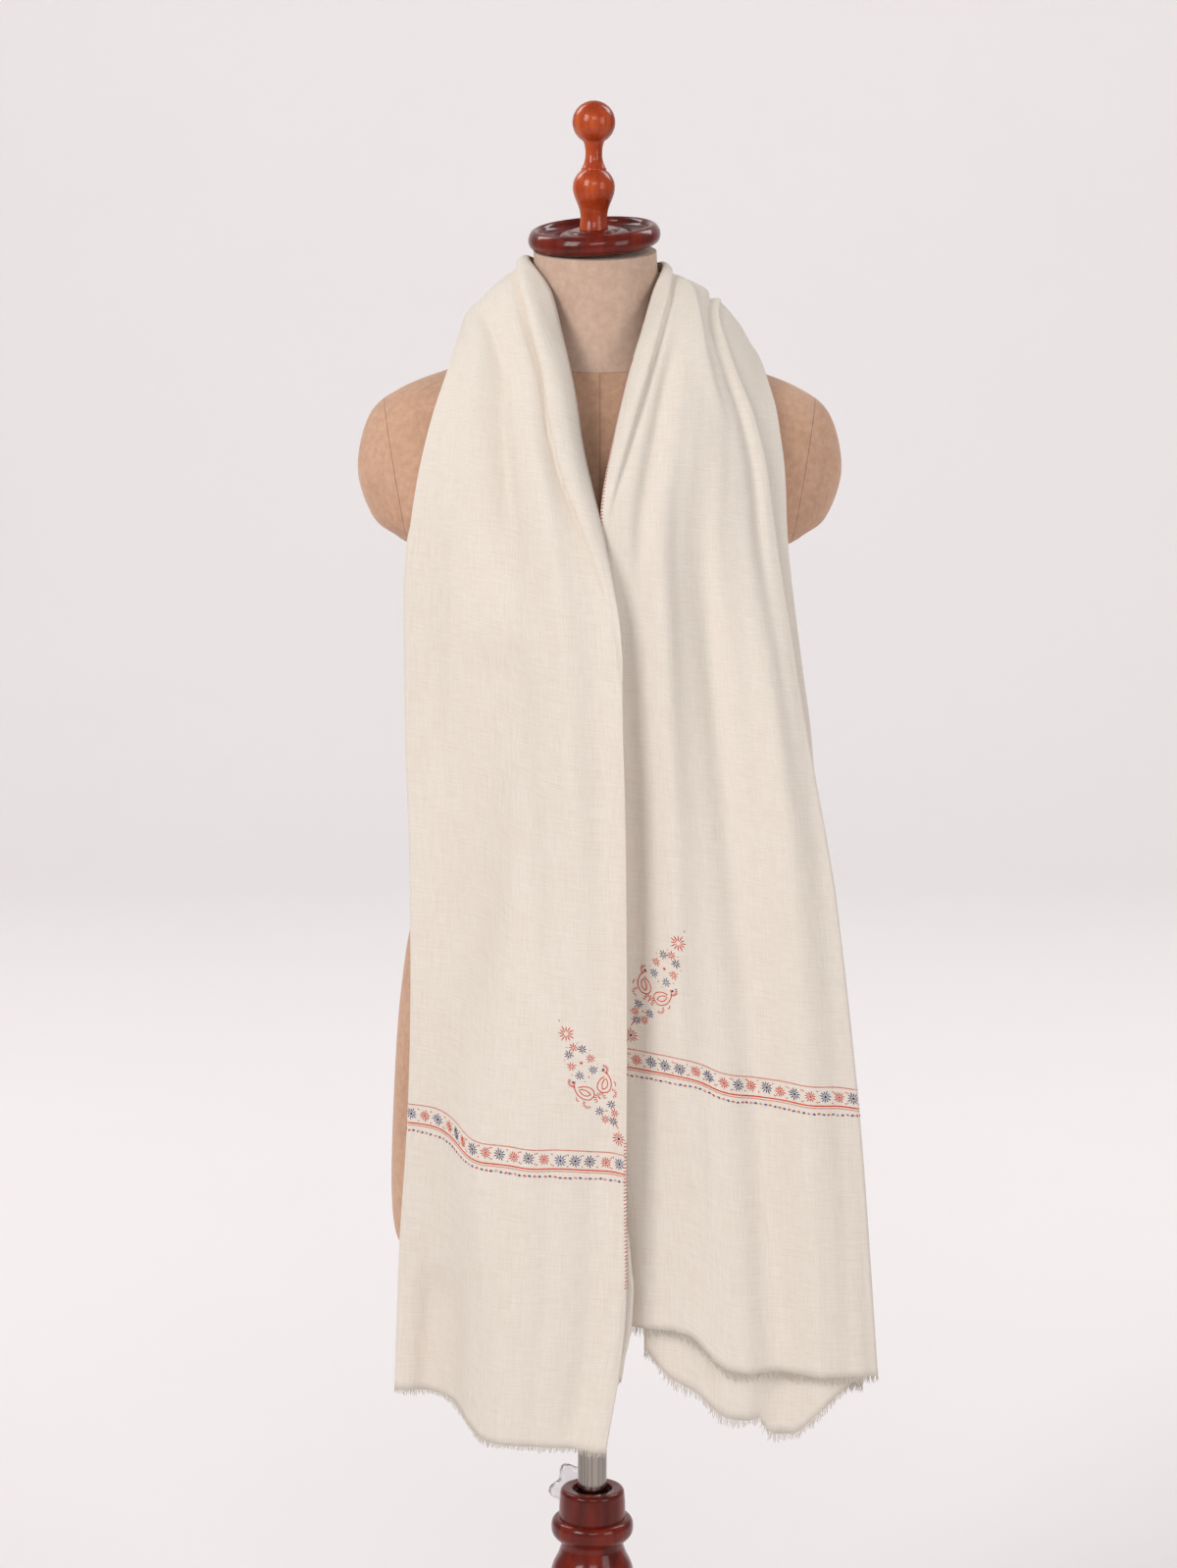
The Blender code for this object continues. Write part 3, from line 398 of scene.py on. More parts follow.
# Each finish's dark, middle and light colours
BEIGE = ((0.48, 0.268, 0.170), (0.57, 0.338, 0.225), (0.65, 0.412, 0.288))
PALE = ((0.53, 0.360, 0.270), (0.61, 0.430, 0.330), (0.68, 0.500, 0.395))
DARK_WOOD = ((0.055, 0.004, 0.002), (0.150, 0.011, 0.004), (0.260, 0.024, 0.008))
RED_WOOD = ((0.200, 0.016, 0.004), (0.480, 0.066, 0.013), (0.690, 0.160, 0.042))
SEAM_HALF_WIDTH = 0.0006
THREADS = [
    ("navy_thread", (0.020, 0.026, 0.150)),
    ("slate_thread", (0.055, 0.085, 0.270)),
    ("coral_thread", (0.790, 0.070, 0.032)),
    ("orange_thread", (0.850, 0.085, 0.022)),
    ("blush_thread", (0.840, 0.330, 0.270)),
]
NAVY, SLATE, CORAL, ORANGE, BLUSH = range(5)


def cloth_material():
    m = Shader("ivory_pashmina")
    # UV runs in metres: u across the cloth, v along it
    weft = m.grain((60, 1900, 1), 1.0, 0.6, "UV")
    warp = m.grain((1900, 60, 1), 1.0, 0.6, "UV")
    slub = m.grain((26, 620, 1), 2.0, 0.6, "UV")
    slub_up = m.grain((620, 20, 1), 2.0, 0.6, "UV")
    cloud = m.grain((9, 5, 1), 3.0, 0.5, "UV")
    yarn = m.weighted(weft, 0.5, warp, 0.5)
    line = m.weighted(slub, 0.5, slub_up, 0.5)
    stops = [(0.30, (0.785, 0.695, 0.600)), (0.50, (0.830, 0.750, 0.665)), (0.70, (0.865, 0.795, 0.720))]
    base = m.ramp(line, stops)
    base = m.mix(m.maths("MULTIPLY", cloud, 0.40), base, (0.800, 0.710, 0.610))
    tint = m.ramp(yarn, [(0.34, (0.90, 0.895, 0.885)), (0.62, (1.0, 1.0, 1.0))])
    m.set(Base_Color=m.mix(1.0, base, tint, "MULTIPLY"), Roughness=0.86)
    m.set(Sheen_Weight=0.15, Sheen_Roughness=0.4, Specular_IOR_Level=0.25)
    m.bump(m.weighted(yarn, 0.7, line, 0.35), 0.35, 0.0010)
    return m.material


def thread_material(name, colour, rough=0.55):
    m = Shader(name)
    twist = m.grain((900, 900, 900), 1.0, 0.5)
    dark = tuple(c * 0.72 for c in colour)
    m.set(Base_Color=m.mix(twist, dark, colour), Roughness=rough, Specular_IOR_Level=0.2)
    m.bump(twist, 0.4, 0.0004)
    return m.material


def suede_material(name, dark, mid, light):
    m = Shader(name)
    broad = m.grain((9, 9, 9), 4.0, 0.6)
    nap = m.grain((160, 160, 160), 3.0, 0.65)
    grit = m.grain((900, 900, 900), 2.0, 0.5)
    base = m.ramp(m.weighted(broad, 0.45, nap, 0.55), [(0.34, dark), (0.52, mid), (0.70, light)])
    # The centre seam is a fine line down the front and back, below the neck
    source = m.node("ShaderNodeTexCoord")
    split = m.node("ShaderNodeSeparateXYZ")
    m.link(source.outputs["Object"], split.inputs["Vector"])
    off = m.maths("ABSOLUTE", m.maths("SUBTRACT", split.outputs["X"], BODY_BOW))
    seam = m.maths("LESS_THAN", off, SEAM_HALF_WIDTH)
    tilted = m.maths("SUBTRACT", split.outputs["Z"], m.maths("MULTIPLY", split.outputs["Y"], NECK[0].tilt))
    low = m.maths("LESS_THAN", tilted, NECK[0].z)
    seam = m.maths("MULTIPLY", seam, low)
    base = m.mix(m.maths("MULTIPLY", seam, 0.55), base, (0.30, 0.170, 0.115))
    m.set(Base_Color=base, Roughness=0.95, Sheen_Weight=0.35, Sheen_Roughness=0.45)
    m.set(Specular_IOR_Level=0.2, Sheen_Tint=(1.0, 0.86, 0.76, 1.0))
    height = m.maths("SUBTRACT", m.weighted(nap, 0.5, grit, 0.35), m.maths("MULTIPLY", seam, 0.7))
    m.bump(height, 0.35, 0.0012)
    return m.material


def wood_material(name, dark, mid, light):
    m = Shader(name)
    wobble = m.grain((6, 6, 2), 2.0, 0.5)
    vector = m.coords("Object", (70, 70, 5))
    shift = m.node("ShaderNodeVectorMath", operation="SCALE")
    m.link(vector, shift.inputs[0])
    m.link(m.maths("ADD", 0.85, m.maths("MULTIPLY", wobble, 0.3)), shift.inputs["Scale"])
    grain = m.noise(shift.outputs["Vector"], 5.0, 0.6)
    pores = m.grain((900, 900, 35), 2.0, 0.6)
    base = m.ramp(grain, [(0.30, dark), (0.52, mid), (0.74, light)])
    base = m.mix(m.maths("MULTIPLY", pores, 0.35), base, dark)
    m.set(Base_Color=base, Roughness=0.34, Coat_Weight=0.60, Coat_Roughness=0.10, Coat_IOR=1.42)
    m.set(Specular_IOR_Level=0.12)
    m.bump(m.maths("ADD", m.maths("MULTIPLY", pores, 0.4), grain), 0.08, 0.0006)
    return m.material


def steel_material(name, colour, rough):
    m = Shader(name)
    draw = m.grain((1500, 1500, 25), 2.0, 0.6)
    # Painted reflection: vertical dark and light bands in the metal's base colour stand in for the studio
    # reflected in the polished steel
    painted_reflection_streak = m.grain((210, 210, 1.5), 2.0, 0.6)
    base = m.ramp(painted_reflection_streak, [(0.36, tuple(c * 0.35 for c in colour)), (0.60, colour)])
    dull = tuple(c * 0.7 for c in colour)
    m.set(Base_Color=m.mix(m.maths("MULTIPLY", draw, 0.3), base, dull), Metallic=1.0)
    m.set(Roughness=m.maths("ADD", rough, m.maths("MULTIPLY", draw, 0.08)))
    m.bump(draw, 0.05, 0.0003)
    return m.material


def clear_material():
    m = Shader("clear_plastic")
    haze = m.grain((60, 60, 60), 2.0, 0.5)
    m.set(Base_Color=(0.93, 0.92, 0.94, 1.0), IOR=1.49, Transmission_Weight=0.92)
    m.set(Roughness=m.maths("ADD", 0.04, m.maths("MULTIPLY", haze, 0.06)))
    return m.material


def plain_material(name, colour, rough=0.9):
    m = Shader(name)
    speck = m.grain((3, 3, 3), 2.0, 0.5)
    m.set(Base_Color=m.mix(speck, tuple(c * 0.985 for c in colour), colour), Roughness=rough)
    m.set(Specular_IOR_Level=0.15)
    return m.material


# ---------------------------------------------------------------- mesh helpers


def add_piece(name, mesh, finish, body, nodes=()):
    made = bpy.data.objects.new(name, mesh)
    bpy.context.scene.collection.objects.link(made)
    if finish:
        mesh.materials.append(finish)
    if body:
        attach(made, body)
    if nodes:
        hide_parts(*nodes)
    return made


def mesh_of(name, points, faces):
    mesh = bpy.data.meshes.new(name)
    mesh.from_pydata([tuple(p) for p in points], [], [tuple(int(i) for i in f) for f in faces])
    mesh.update()
    mesh.shade_smooth()
    return mesh


def grid_faces(rows, across, closed=False):
    r, c = np.meshgrid(np.arange(rows - 1), np.arange(across if closed else across - 1), indexing="ij")
    r, c = r.ravel(), c.ravel()
    d = (c + 1) % across
    return np.stack([r * across + c, r * across + d, (r + 1) * across + d, (r + 1) * across + c], axis=1)


@contextmanager
def reworked(mesh, crease=None):
    """Lends the mesh as a bmesh, then turns its faces outwards and shades it smooth up to the crease."""
    work = bmesh.new()
    work.from_mesh(mesh)
    yield work
    bmesh.ops.recalc_face_normals(work, faces=work.faces)
    work.to_mesh(mesh)
    work.free()
    mesh.shade_smooth()
    if crease:
        mesh.set_sharp_from_angle(angle=crease)


def smooth_profile(profile, corners, steps=4):
    """More points along a turned profile, on a smooth curve between its corners."""
    found = []
    stops = sorted({0, *corners, len(profile) - 1})
    for first, last in zip(stops[:-1], stops[1:]):
        run = np.array(profile[first : last + 1], float)
        if len(run) < 3:
            found += [tuple(p) for p in run[:-1]]
            continue
        at = np.concatenate([[0], np.cumsum(np.linalg.norm(np.diff(run, axis=0), axis=1))])
        places = np.interp(np.arange(0, (len(run) - 1) * steps) / steps, np.arange(len(run)), at)
        found += [tuple(p) for p in spline(at, run, places)]
    return found + [tuple(profile[-1])]


def turned(name, profile, steps=96):
    """A turned solid's mesh from a profile that starts and ends on the axis."""
    mesh = bpy.data.meshes.new(name)
    with reworked(mesh, TURNED_CREASE) as work:
        verts = [work.verts.new((r, 0.0, z)) for r, z in profile]
        edges = [work.edges.new(pair) for pair in zip(verts[:-1], verts[1:])]
        bmesh.ops.spin(
            work,
            geom=verts + edges,
            cent=(0, 0, 0),
            axis=(0, 0, 1),
            angle=2 * math.pi,
            steps=steps,
            use_merge=True,
        )
        bmesh.ops.remove_doubles(work, verts=work.verts, dist=1e-6)
    return mesh


def halve(mesh, point, outward, above=-1.0):
    """Cuts off the part of a closed mesh on the outward side of a plane, and closes the cut."""
    with reworked(mesh, CUT_CREASE) as work:
        faces = [face for face in work.faces if face.calc_center_median().z > above]
        edges = list({edge for face in faces for edge in face.edges})
        verts = list({vert for face in faces for vert in face.verts})
        geom = verts + edges + faces
        bmesh.ops.bisect_plane(
            work, geom=geom, dist=1e-6, plane_co=point, plane_no=outward, clear_outer=True
        )
        rim = [edge for edge in work.edges if edge.is_boundary]
        bmesh.ops.edgeloop_fill(work, edges=rim)


# ---------------------------------------------------------------- dress form and stand


def body_shift(z):
    bow = BODY_BOW * smoothstep((z - BOW_START) / BOW_SPAN)
    return bow - NECK_RETURN * smoothstep((z - RETURN_START) / RETURN_SPAN)


def body_points(rings, count, steps):
    """Rings of a lofted body: a superellipse with its own front and back depth, on a plane that tilts."""
    table = np.array(rings, float)
    table = spline(np.arange(len(rings)), table, np.linspace(0, len(rings) - 1, count))
    angle = np.arange(steps) * 2 * math.pi / steps
    c, s = np.cos(angle), np.sin(angle)
    points = np.zeros((count, steps, 3))
    for k, (z, half_width, front, back, tilt, squareness) in enumerate(table):
        x = half_width * np.sign(c) * np.abs(c) ** (2 / squareness)
        y = np.where(s < 0, front, back) * np.sign(s) * np.abs(s) ** (2 / squareness)
        points[k] = np.stack([x + body_shift(z), y, z + tilt * y], axis=1)
    return points


def capped_tube(name, points):
    rows, steps = points.shape[:2]
    faces = [tuple(f) for f in grid_faces(rows, steps, True)]
    faces.append(tuple(range(steps))[::-1])
    faces.append(tuple(range((rows - 1) * steps, rows * steps)))
    mesh = mesh_of(name, points.reshape(-1, 3), faces)
    with reworked(mesh, CUT_CREASE):
        pass
    return mesh


def armhole(side):
    """A point on one arm cap's cut, and the cut's outward direction."""
    lean = Vector((side * math.cos(ARMHOLE_LEAN), 0.0, -math.sin(ARMHOLE_LEAN)))
    return Vector((side * ARMHOLE_X + BODY_BOW, 0.0, ARMHOLE_Z)), lean


def build_form(finish, neck_finish):
    points = body_points(BODY, 150, 120)
    torso = capped_tube("torso_cover", points)
    for side in (-1, 1):
        point, outward = armhole(side)
        halve(torso, point, outward, above=UNDERARM)
    add_piece("torso_cover", torso, finish, "form", ["form_torso"])
    for side, node, name in (
        (-1, "form_arm_cap_left", "arm_cap_cover_left"),
        (1, "form_arm_cap_right", "arm_cap_cover_right"),
    ):
        point, outward = armhole(side)
        cap = capped_tube(name, points)
        halve(cap, Vector((0.0, 0.0, UNDERARM)), Vector((0.0, 0.0, -1.0)))
        halve(cap, point + outward * GAP, -outward)
        add_piece(name, cap, finish, "form", [node])
    neck_points = body_points(NECK, 30, 96)
    neck_points[:, :, 2] += GAP
    neck = capped_tube("neck_cover", neck_points)
    add_piece("neck_cover", neck, neck_finish, "form", ["form_neck"])
    return body_points(BODY, 60, 72), neck_points


def cap_matrix():
    """The neck cap's place and tilt."""
    turn = Matrix.Rotation(CAP_ROLL, 4, "Y") @ Matrix.Rotation(CAP_FORWARD, 4, "X")
    return Matrix.Translation(NECK_CENTRE) @ turn


def build_wood(dark, red):
    cap = turned("turned_neck_cap", smooth_profile(NECK_CAP, CAP_CORNERS))
    cap.transform(cap_matrix())
    add_piece("turned_neck_cap", cap, dark, "form", ["neck_cap"])
    meet = math.asin(FINIAL[0][0] / FINIAL_BALL_RADIUS)
    radius, height = FINIAL_BALL_RADIUS, FINIAL_BALL_HEIGHT
    turns = [k * (math.pi - meet) / 24 for k in range(24)]
    ball = [(radius * math.sin(a), height + radius * math.cos(a)) for a in turns]
    stem = turned("turned_finial", ball + smooth_profile(FINIAL, FINIAL_CORNERS) + [(0.0, FINIAL[-1][1])])
    seat = cap_matrix() @ Vector((0.0, 0.0, NECK_CAP[0][1] + GAP))
    stem.transform(Matrix.Translation(seat))
    halve(stem, seat, cap_matrix().to_3x3() @ Vector((0.0, 0.0, -1.0)))
    stem.set_sharp_from_angle(angle=TURNED_CREASE)
    add_piece("turned_finial", stem, red, "form", ["finial"])
    base = turned("turned_base", smooth_profile(BASE, BASE_CORNERS), 128)
    add_piece("turned_base", base, dark, "stand", ["stand_base"])
    bore = [(0.0, BORE_FLOOR), (BORE_RADIUS, BORE_FLOOR), (BORE_RADIUS, POST[0][1] - BORE_CHAMFER)]
    foot = [(POST[-1][0], BASE_HEIGHT + GAP), (0.0, BASE_HEIGHT + GAP)]
    post = turned("turned_post", bore + smooth_profile(POST, POST_CORNERS) + foot)
    add_piece("turned_post", post, dark, "stand", ["stand_post"])


def lock_frame():
    """The lock screw's axis as +Z, starting at the pole's."""
    out = Vector((math.cos(LOCK_AZIMUTH), math.sin(LOCK_AZIMUTH), 0.0))
    return Matrix.Translation((0.0, 0.0, LOCK_HEIGHT)) @ out.to_track_quat("Z", "Y").to_matrix().to_4x4()


def build_knob(clear):
    """The lobed knob, rounded at its rim and domed on both faces."""
    steps, rings = KNOB_LOBES * 16, 14
    deep = KNOB_END - KNOB_START
    points = []
    for k in range(rings + 1):
        a = math.pi * k / rings
        for j in range(steps):
            t = 2 * math.pi * j / steps
            radius = KNOB_MEAN_RADIUS + KNOB_WAVE * math.cos(KNOB_LOBES * t)
            edge = math.sin(a) ** KNOB_RIM_POWER
            dome = math.copysign(abs(math.cos(a)) ** KNOB_FACE_POWER, math.cos(a))
            height = KNOB_START + deep * (0.5 - 0.5 * dome)
            points.append((radius * edge * math.cos(t), radius * edge * math.sin(t), height))
    mesh = mesh_of("star_knob", points, grid_faces(rings + 1, steps, True))
    with reworked(mesh) as work:
        bmesh.ops.remove_doubles(work, verts=work.verts, dist=1e-5)
    mesh.transform(lock_frame())
    add_piece("star_knob", mesh, clear, "lock", ["lock_knob"])


def finish_node(name, finish):
    """A CAD node keeps its shape and gets a finish."""
    node = bpy.data.objects[name]
    for k in range(len(node.material_slots)):
        node.material_slots[k].material = finish
    if not node.material_slots:
        node.data.materials.append(finish)


# ---------------------------------------------------------------- shawl

# The grid on which the cloth is lifted clear of the form, and how far it runs past the hems
LIFT_ROWS, LIFT_COLUMNS, MARGIN = 421, 41, 0.08
LIFT_PASSES, LAYERS_BEHIND, LEAST_SLANT, LEAST_SQUARE = 4, 3, 0.35, 0.6
CREASE_SOFTNESS, SHORT_STEP = 0.032, 0.004
# The columns of Drape.rows that follow the two edges' coordinates
BELLY, FOLD_AT, FOLD_SHARE, PITCH = range(6, 10)


class Drape:
    """The shawl's surface: a point for each length from the left hem, place across, and depth in layers."""

    def __init__(self, body):
        self.at = np.array([s.hem_m for s in LEFT] + [NAPE.hem_m] + [LENGTH - s.hem_m for s in RIGHT[::-1]])
        self.rows = np.array([s[1:] for s in LEFT] + [NAPE[1:]] + [s[1:] for s in RIGHT[::-1]], float)
        self.lift = None
        self.gap = None
        self.find_lift(body)

    def edges(self, lengths):
        """(inner, chord, outward, row values) at each length."""
        on_cloth = np.clip(lengths, 0.0, LENGTH)
        row = spline(self.at, self.rows, on_cloth)
        ahead = spline(self.at, self.rows, np.minimum(on_cloth + SHORT_STEP, LENGTH))
        behind = spline(self.at, self.rows, np.maximum(on_cloth - SHORT_STEP, 0.0))
        along = unit((ahead[:, 0:3] + ahead[:, 3:6]) - (behind[:, 0:3] + behind[:, 3:6]))
        chord = row[:, 3:6] - row[:, 0:3]
        inner = row[:, 0:3].copy()
        inner[:, 2] += np.minimum(lengths, 0.0) + np.minimum(LENGTH - lengths, 0.0)
        return inner, chord, unit(np.cross(along, chord)), row

    def rise(self, lengths, w, row):
        """How far the front layer stands out from the straight line between its edges."""
        rise = row[BELLY] * 4 * w * (1 - w)
        for fold in FOLDS:
            t = (lengths - fold.start_m) / (fold.end_m - fold.start_m)
            fade = np.ones_like(t) if fold.start_m <= 0.0 else smoothstep(t / FOLD_FADE)
            if fold.end_m < LENGTH:
                fade = fade * smoothstep((1 - t) / FOLD_FADE)
            drift = (fold.end_across - fold.start_across) * np.clip(t, 0, 1)
            off = (w - fold.start_across - drift) / fold.half_width
            if fold.lipped:
                off = np.where(off > 0, off * LIP_STEEP, off * LIP_GENTLE)
            rise = rise + fold.height * fade * np.exp(-(off**2))
        width = by_length(ROLLS, 1, lengths)
        height = by_length(ROLLS, 2, lengths)
        round_off = np.sqrt(np.clip(1 - (2 * w / width - 1) ** 2, 0, 1))
        beyond = w - width - VALLEY_START
        valley = np.exp(-((beyond / np.where(beyond > 0, VALLEY_FAR, VALLEY_NEAR)) ** 2))
        rise = rise + height * (round_off - VALLEY_SHARE * valley)
        tuck = by_length(TUCKS, 1, lengths)
        dip = np.exp(-(((w - (1 - tuck) + TUCK_VALLEY_INSIDE) / TUCK_VALLEY_WIDTH) ** 2))
        rise = rise - TUCK_VALLEY * smoothstep(tuck / TUCK_ONSET) * dip
        corner = np.clip(1 - lengths / CORNER_LENGTH - w / CORNER_ACROSS, 0, 1)
        return rise + ripples(lengths, w) + CORNER_TIP * corner

    def place(self, lengths, w, deep=0.0, bulge=0.0):
        """Points and outward directions for arrays of lengths and places across of the same shape."""
        shape = np.shape(lengths)
        flat, across = np.ravel(lengths), np.ravel(w)
        inner, chord, outward, row = self.edges(flat)
        parts = row.T
        folded = 1 / (1 + np.exp(-(across - parts[FOLD_AT]) / CREASE_SOFTNESS))
        q = (1 - parts[FOLD_SHARE]) * across + parts[FOLD_SHARE] * folded
        points = inner + chord * np.stack([across, q, q], axis=1)
        out = self.rise(flat, across, parts)
        gap = parts[PITCH]
        if self.lift is not None:
            r = (flat + MARGIN) / (LENGTH + 2 * MARGIN) * (LIFT_ROWS - 1)
            c = np.clip(across, 0, 1) * (LIFT_COLUMNS - 1)
            out = out + sample(self.lift, r, c)[:, 0]
            gap = sample(self.gap, r, c)[:, 0]
        points = points + outward * (out - gap * np.ravel(deep + 0 * lengths))[:, None]
        sideways = unit(chord)
        points = points + sideways * (gap * np.ravel(bulge + 0 * lengths))[:, None]
        return points.reshape(*shape, 3), outward.reshape(*shape, 3)

    def find_lift(self, body):
        """How far each spot is lifted so that all its layers clear the form, and how far apart they lie."""
        lengths = np.linspace(-MARGIN, LENGTH + MARGIN, LIFT_ROWS)
        w = np.linspace(0, 1, LIFT_COLUMNS)
        grid_l, grid_w = np.meshgrid(lengths, w, indexing="ij")
        points, outward = self.place(grid_l, grid_w)
        pitch = np.repeat(self.edges(lengths)[3][:, PITCH, None], LIFT_COLUMNS, axis=1)
        lift = np.zeros(points.shape[:2])
        for _ in range(LIFT_PASSES):
            moved = points + outward * lift[:, :, None]
            for r in range(LIFT_ROWS):
                for c in range(LIFT_COLUMNS):
                    near, facing, _, _ = body.find_nearest(Vector(moved[r, c]))
                    away = (Vector(moved[r, c]) - near).dot(facing)
                    slant = max(LEAST_SLANT, facing.dot(Vector(outward[r, c])))
                    needed = BODY_CLEARANCE + LAYERS_BEHIND * pitch[r, c] + CLOTH
                    lift[r, c] += max(0.0, needed - away) / slant
            for _ in range(2):
                lift = np.maximum(lift, around(lift) / 4)
        moved = points + outward * lift[:, :, None]
        surface = unit(np.cross(np.gradient(moved, axis=0), np.gradient(moved, axis=1)))
        square_on = np.clip(np.abs((surface * outward).sum(axis=2)), LEAST_SQUARE, 1.0)
        self.lift = soften(lift, 3)[:, :, None]
        self.gap = soften(pitch / square_on, 3)[:, :, None]


def around(grid):
    """The sum of each value's four neighbours."""
    padded = np.pad(grid, 1, mode="edge")
    return padded[:-2, 1:-1] + padded[2:, 1:-1] + padded[1:-1, :-2] + padded[1:-1, 2:]


def soften(grid, times):
    for _ in range(times):
        grid = grid / 2 + around(grid) / 8
    return grid


# Fine waves of the hanging cloth: cycles across, drift per metre of length, phase, height
Ripple = namedtuple("Ripple", "cycles drift phase height")
RIPPLES = [
    Ripple(4.3, 0.5, 0.4, 0.0011),
    Ripple(7.1, -0.8, 2.1, 0.0007),
    Ripple(11.3, 1.3, 4.0, 0.0004),
    Ripple(2.6, -0.4, 5.2, 0.0013),
]


def ripples(lengths, w):
    """The fine waves' height, each wave swelling and wandering along the cloth at its own rate."""
    total = np.zeros_like(lengths)
    for k, ripple in enumerate(RIPPLES):
        angle = 2 * math.pi * (ripple.cycles * w + ripple.drift * lengths) + ripple.phase
        sway = 0.6 + 0.4 * np.sin(lengths * (5.1 + 1.7 * k) + ripple.phase * 2)
        total = total + ripple.height * sway * np.sin(angle + 0.5 * np.sin(lengths * 6.3 + k))
    return total * (0.25 + 0.75 * smoothstep(np.minimum(lengths, LENGTH - lengths) / -0.9 + 1.0))


def by_length(table, column, lengths):
    """One column of a table, smoothly between its rows, whose first column is the length."""
    values = np.array(table, float)
    found = spline(values[:, 0], values[:, column : column + 1], np.ravel(lengths))
    return found[:, 0].reshape(np.shape(lengths))


def between(lengths, start, stop, fade):
    """1 from start to stop, easing to 0 over the fade inside each end."""
    return smoothstep((lengths - start) / fade) * smoothstep((stop - lengths) / fade)


def fold_places(lengths):
    """Where the first, second and third folds and the back edge lie across the cloth at each length."""
    tuck = np.clip(by_length(TUCKS, 1, lengths), 0, 1)
    first = 1.0 - tuck
    # Low on the left the layers behind show as a sliver past the front layer's edge
    low = LOW_SLIVER_REACH * between(lengths, *LOW_SLIVER)
    spread = SPREAD * smoothstep((SPREAD_LENGTH - lengths) / SPREAD_FADE)
    second = INNER_FOLD - spread - low
    # The back layers reach past the front fold over the right shoulder, and by a little beside the left arm
    beside = ARM_SLIVER_REACH * between(lengths, *ARM_SLIVER)
    third = OUTER_FOLD + (1 - OUTER_FOLD) * smoothstep(tuck / BACK_ONSET) + beside
    return first, second, third, BACK_EDGE + 0 * lengths


def shawl_columns():
    """Each column of the cloth: (its layer, share of the way through it, depth in layers, bulge)."""
    columns = []
    turn = np.linspace(0, math.pi, TURN_NODES + 2)[1:-1]
    for layer, nodes in enumerate(LAYER_NODES):
        shares = np.linspace(0, 1, nodes + 1)
        if layer == 0:
            shares = shares - CROWDING * np.sin(2 * math.pi * shares)
        for t in shares:
            columns.append((layer, t, float(layer), 0.0))
        if layer < 3:
            sign = -1 if layer == 1 else 1
            for a in turn:
                columns.append((layer, 1.0, layer + 0.5 - 0.5 * math.cos(a), sign * 0.5 * math.sin(a)))
    return np.array(columns)


def across_at(lengths, columns):
    """The place across of each column at each length, as a grid."""
    first, second, third, back = (p[:, None] for p in fold_places(lengths))
    starts = [0 * first, first, second, third]
    ends = [first, second, third, back]
    layer, t = columns[:, 0].astype(int), columns[:, 1]
    found = np.zeros((len(lengths), len(columns)))
    for k in range(4):
        pick = layer == k
        found[:, pick] = starts[k] + (ends[k] - starts[k]) * t[None, pick]
    return found


def hem_drops(columns):
    places = columns[:, 0] + columns[:, 1]
    table = np.array(HEM_DROPS, float)
    return -np.interp(places, table[:, 0], table[:, 1]), np.interp(places, table[:, 0], table[:, 2])


def row_lengths():
    low = np.linspace(0.0, FINE_LEFT, ROWS_LOW + 1)[:-1]
    high = np.linspace(FINE_LEFT, LENGTH - FINE_RIGHT, ROWS_HIGH + 1)
    last = np.linspace(LENGTH - FINE_RIGHT, LENGTH, ROWS_LOW + 1)[1:]
    return np.concatenate([low, high, last])


def shawl_grid(drape, lengths, columns):
    """(points, length at each point) for rows at these lengths, with the hems' drops."""
    left, right = hem_drops(columns)
    fade_left = np.clip(1 - lengths / HEM_FADE, 0, 1)[:, None]
    fade_right = np.clip(1 - (LENGTH - lengths) / HEM_FADE, 0, 1)[:, None]
    moved = lengths[:, None] + fade_left * left + fade_right * right
    w = across_at(lengths, columns)
    curl = by_length(CURLS, 1, lengths)[:, None] * np.clip(1 - w / CURL_ACROSS, 0, 1) ** 2
    deep = columns[:, 2][None, :] + np.where(columns[:, 0][None, :] == 0, curl, 0.0)
    bulge = np.broadcast_to(columns[:, 3][None, :], w.shape)
    return drape.place(moved, w, deep, bulge)[0], moved


class Cloth:
    """The finished surface, as a grid that stitches and fringe are placed on."""

    def __init__(self, points, lengths):
        self.points, self.lengths = points, lengths
        along, across = np.gradient(points, axis=0), np.gradient(points, axis=1)
        self.normals = unit(np.cross(across, along))
        middle = self.normals[len(lengths) // 8, LAYER_NODES[0] // 2]
        if middle[1] > 0:
            self.normals = -self.normals
        steps = np.linalg.norm(np.diff(points, axis=1), axis=2)
        self.reach = np.concatenate([np.zeros((len(points), 1)), np.cumsum(steps, axis=1)], axis=1)
        self.columns = points.shape[1]

    def spots(self, end, across, height):
        """Points and normals at distances across from the inner edge and heights above one end's hem."""
        length = height if end == "left" else LENGTH - height
        r = np.interp(length, self.lengths, np.arange(len(self.lengths)))
        c = np.zeros_like(r)
        near = np.round(r).astype(int)
        for row in np.unique(near):
            pick = near == row
            c[pick] = np.interp(across[pick], self.reach[row], np.arange(self.columns))
        return sample(self.points, r, c), unit(sample(self.normals, r, c))


# The row whose distances across give every row its u
UV_ROW = 20


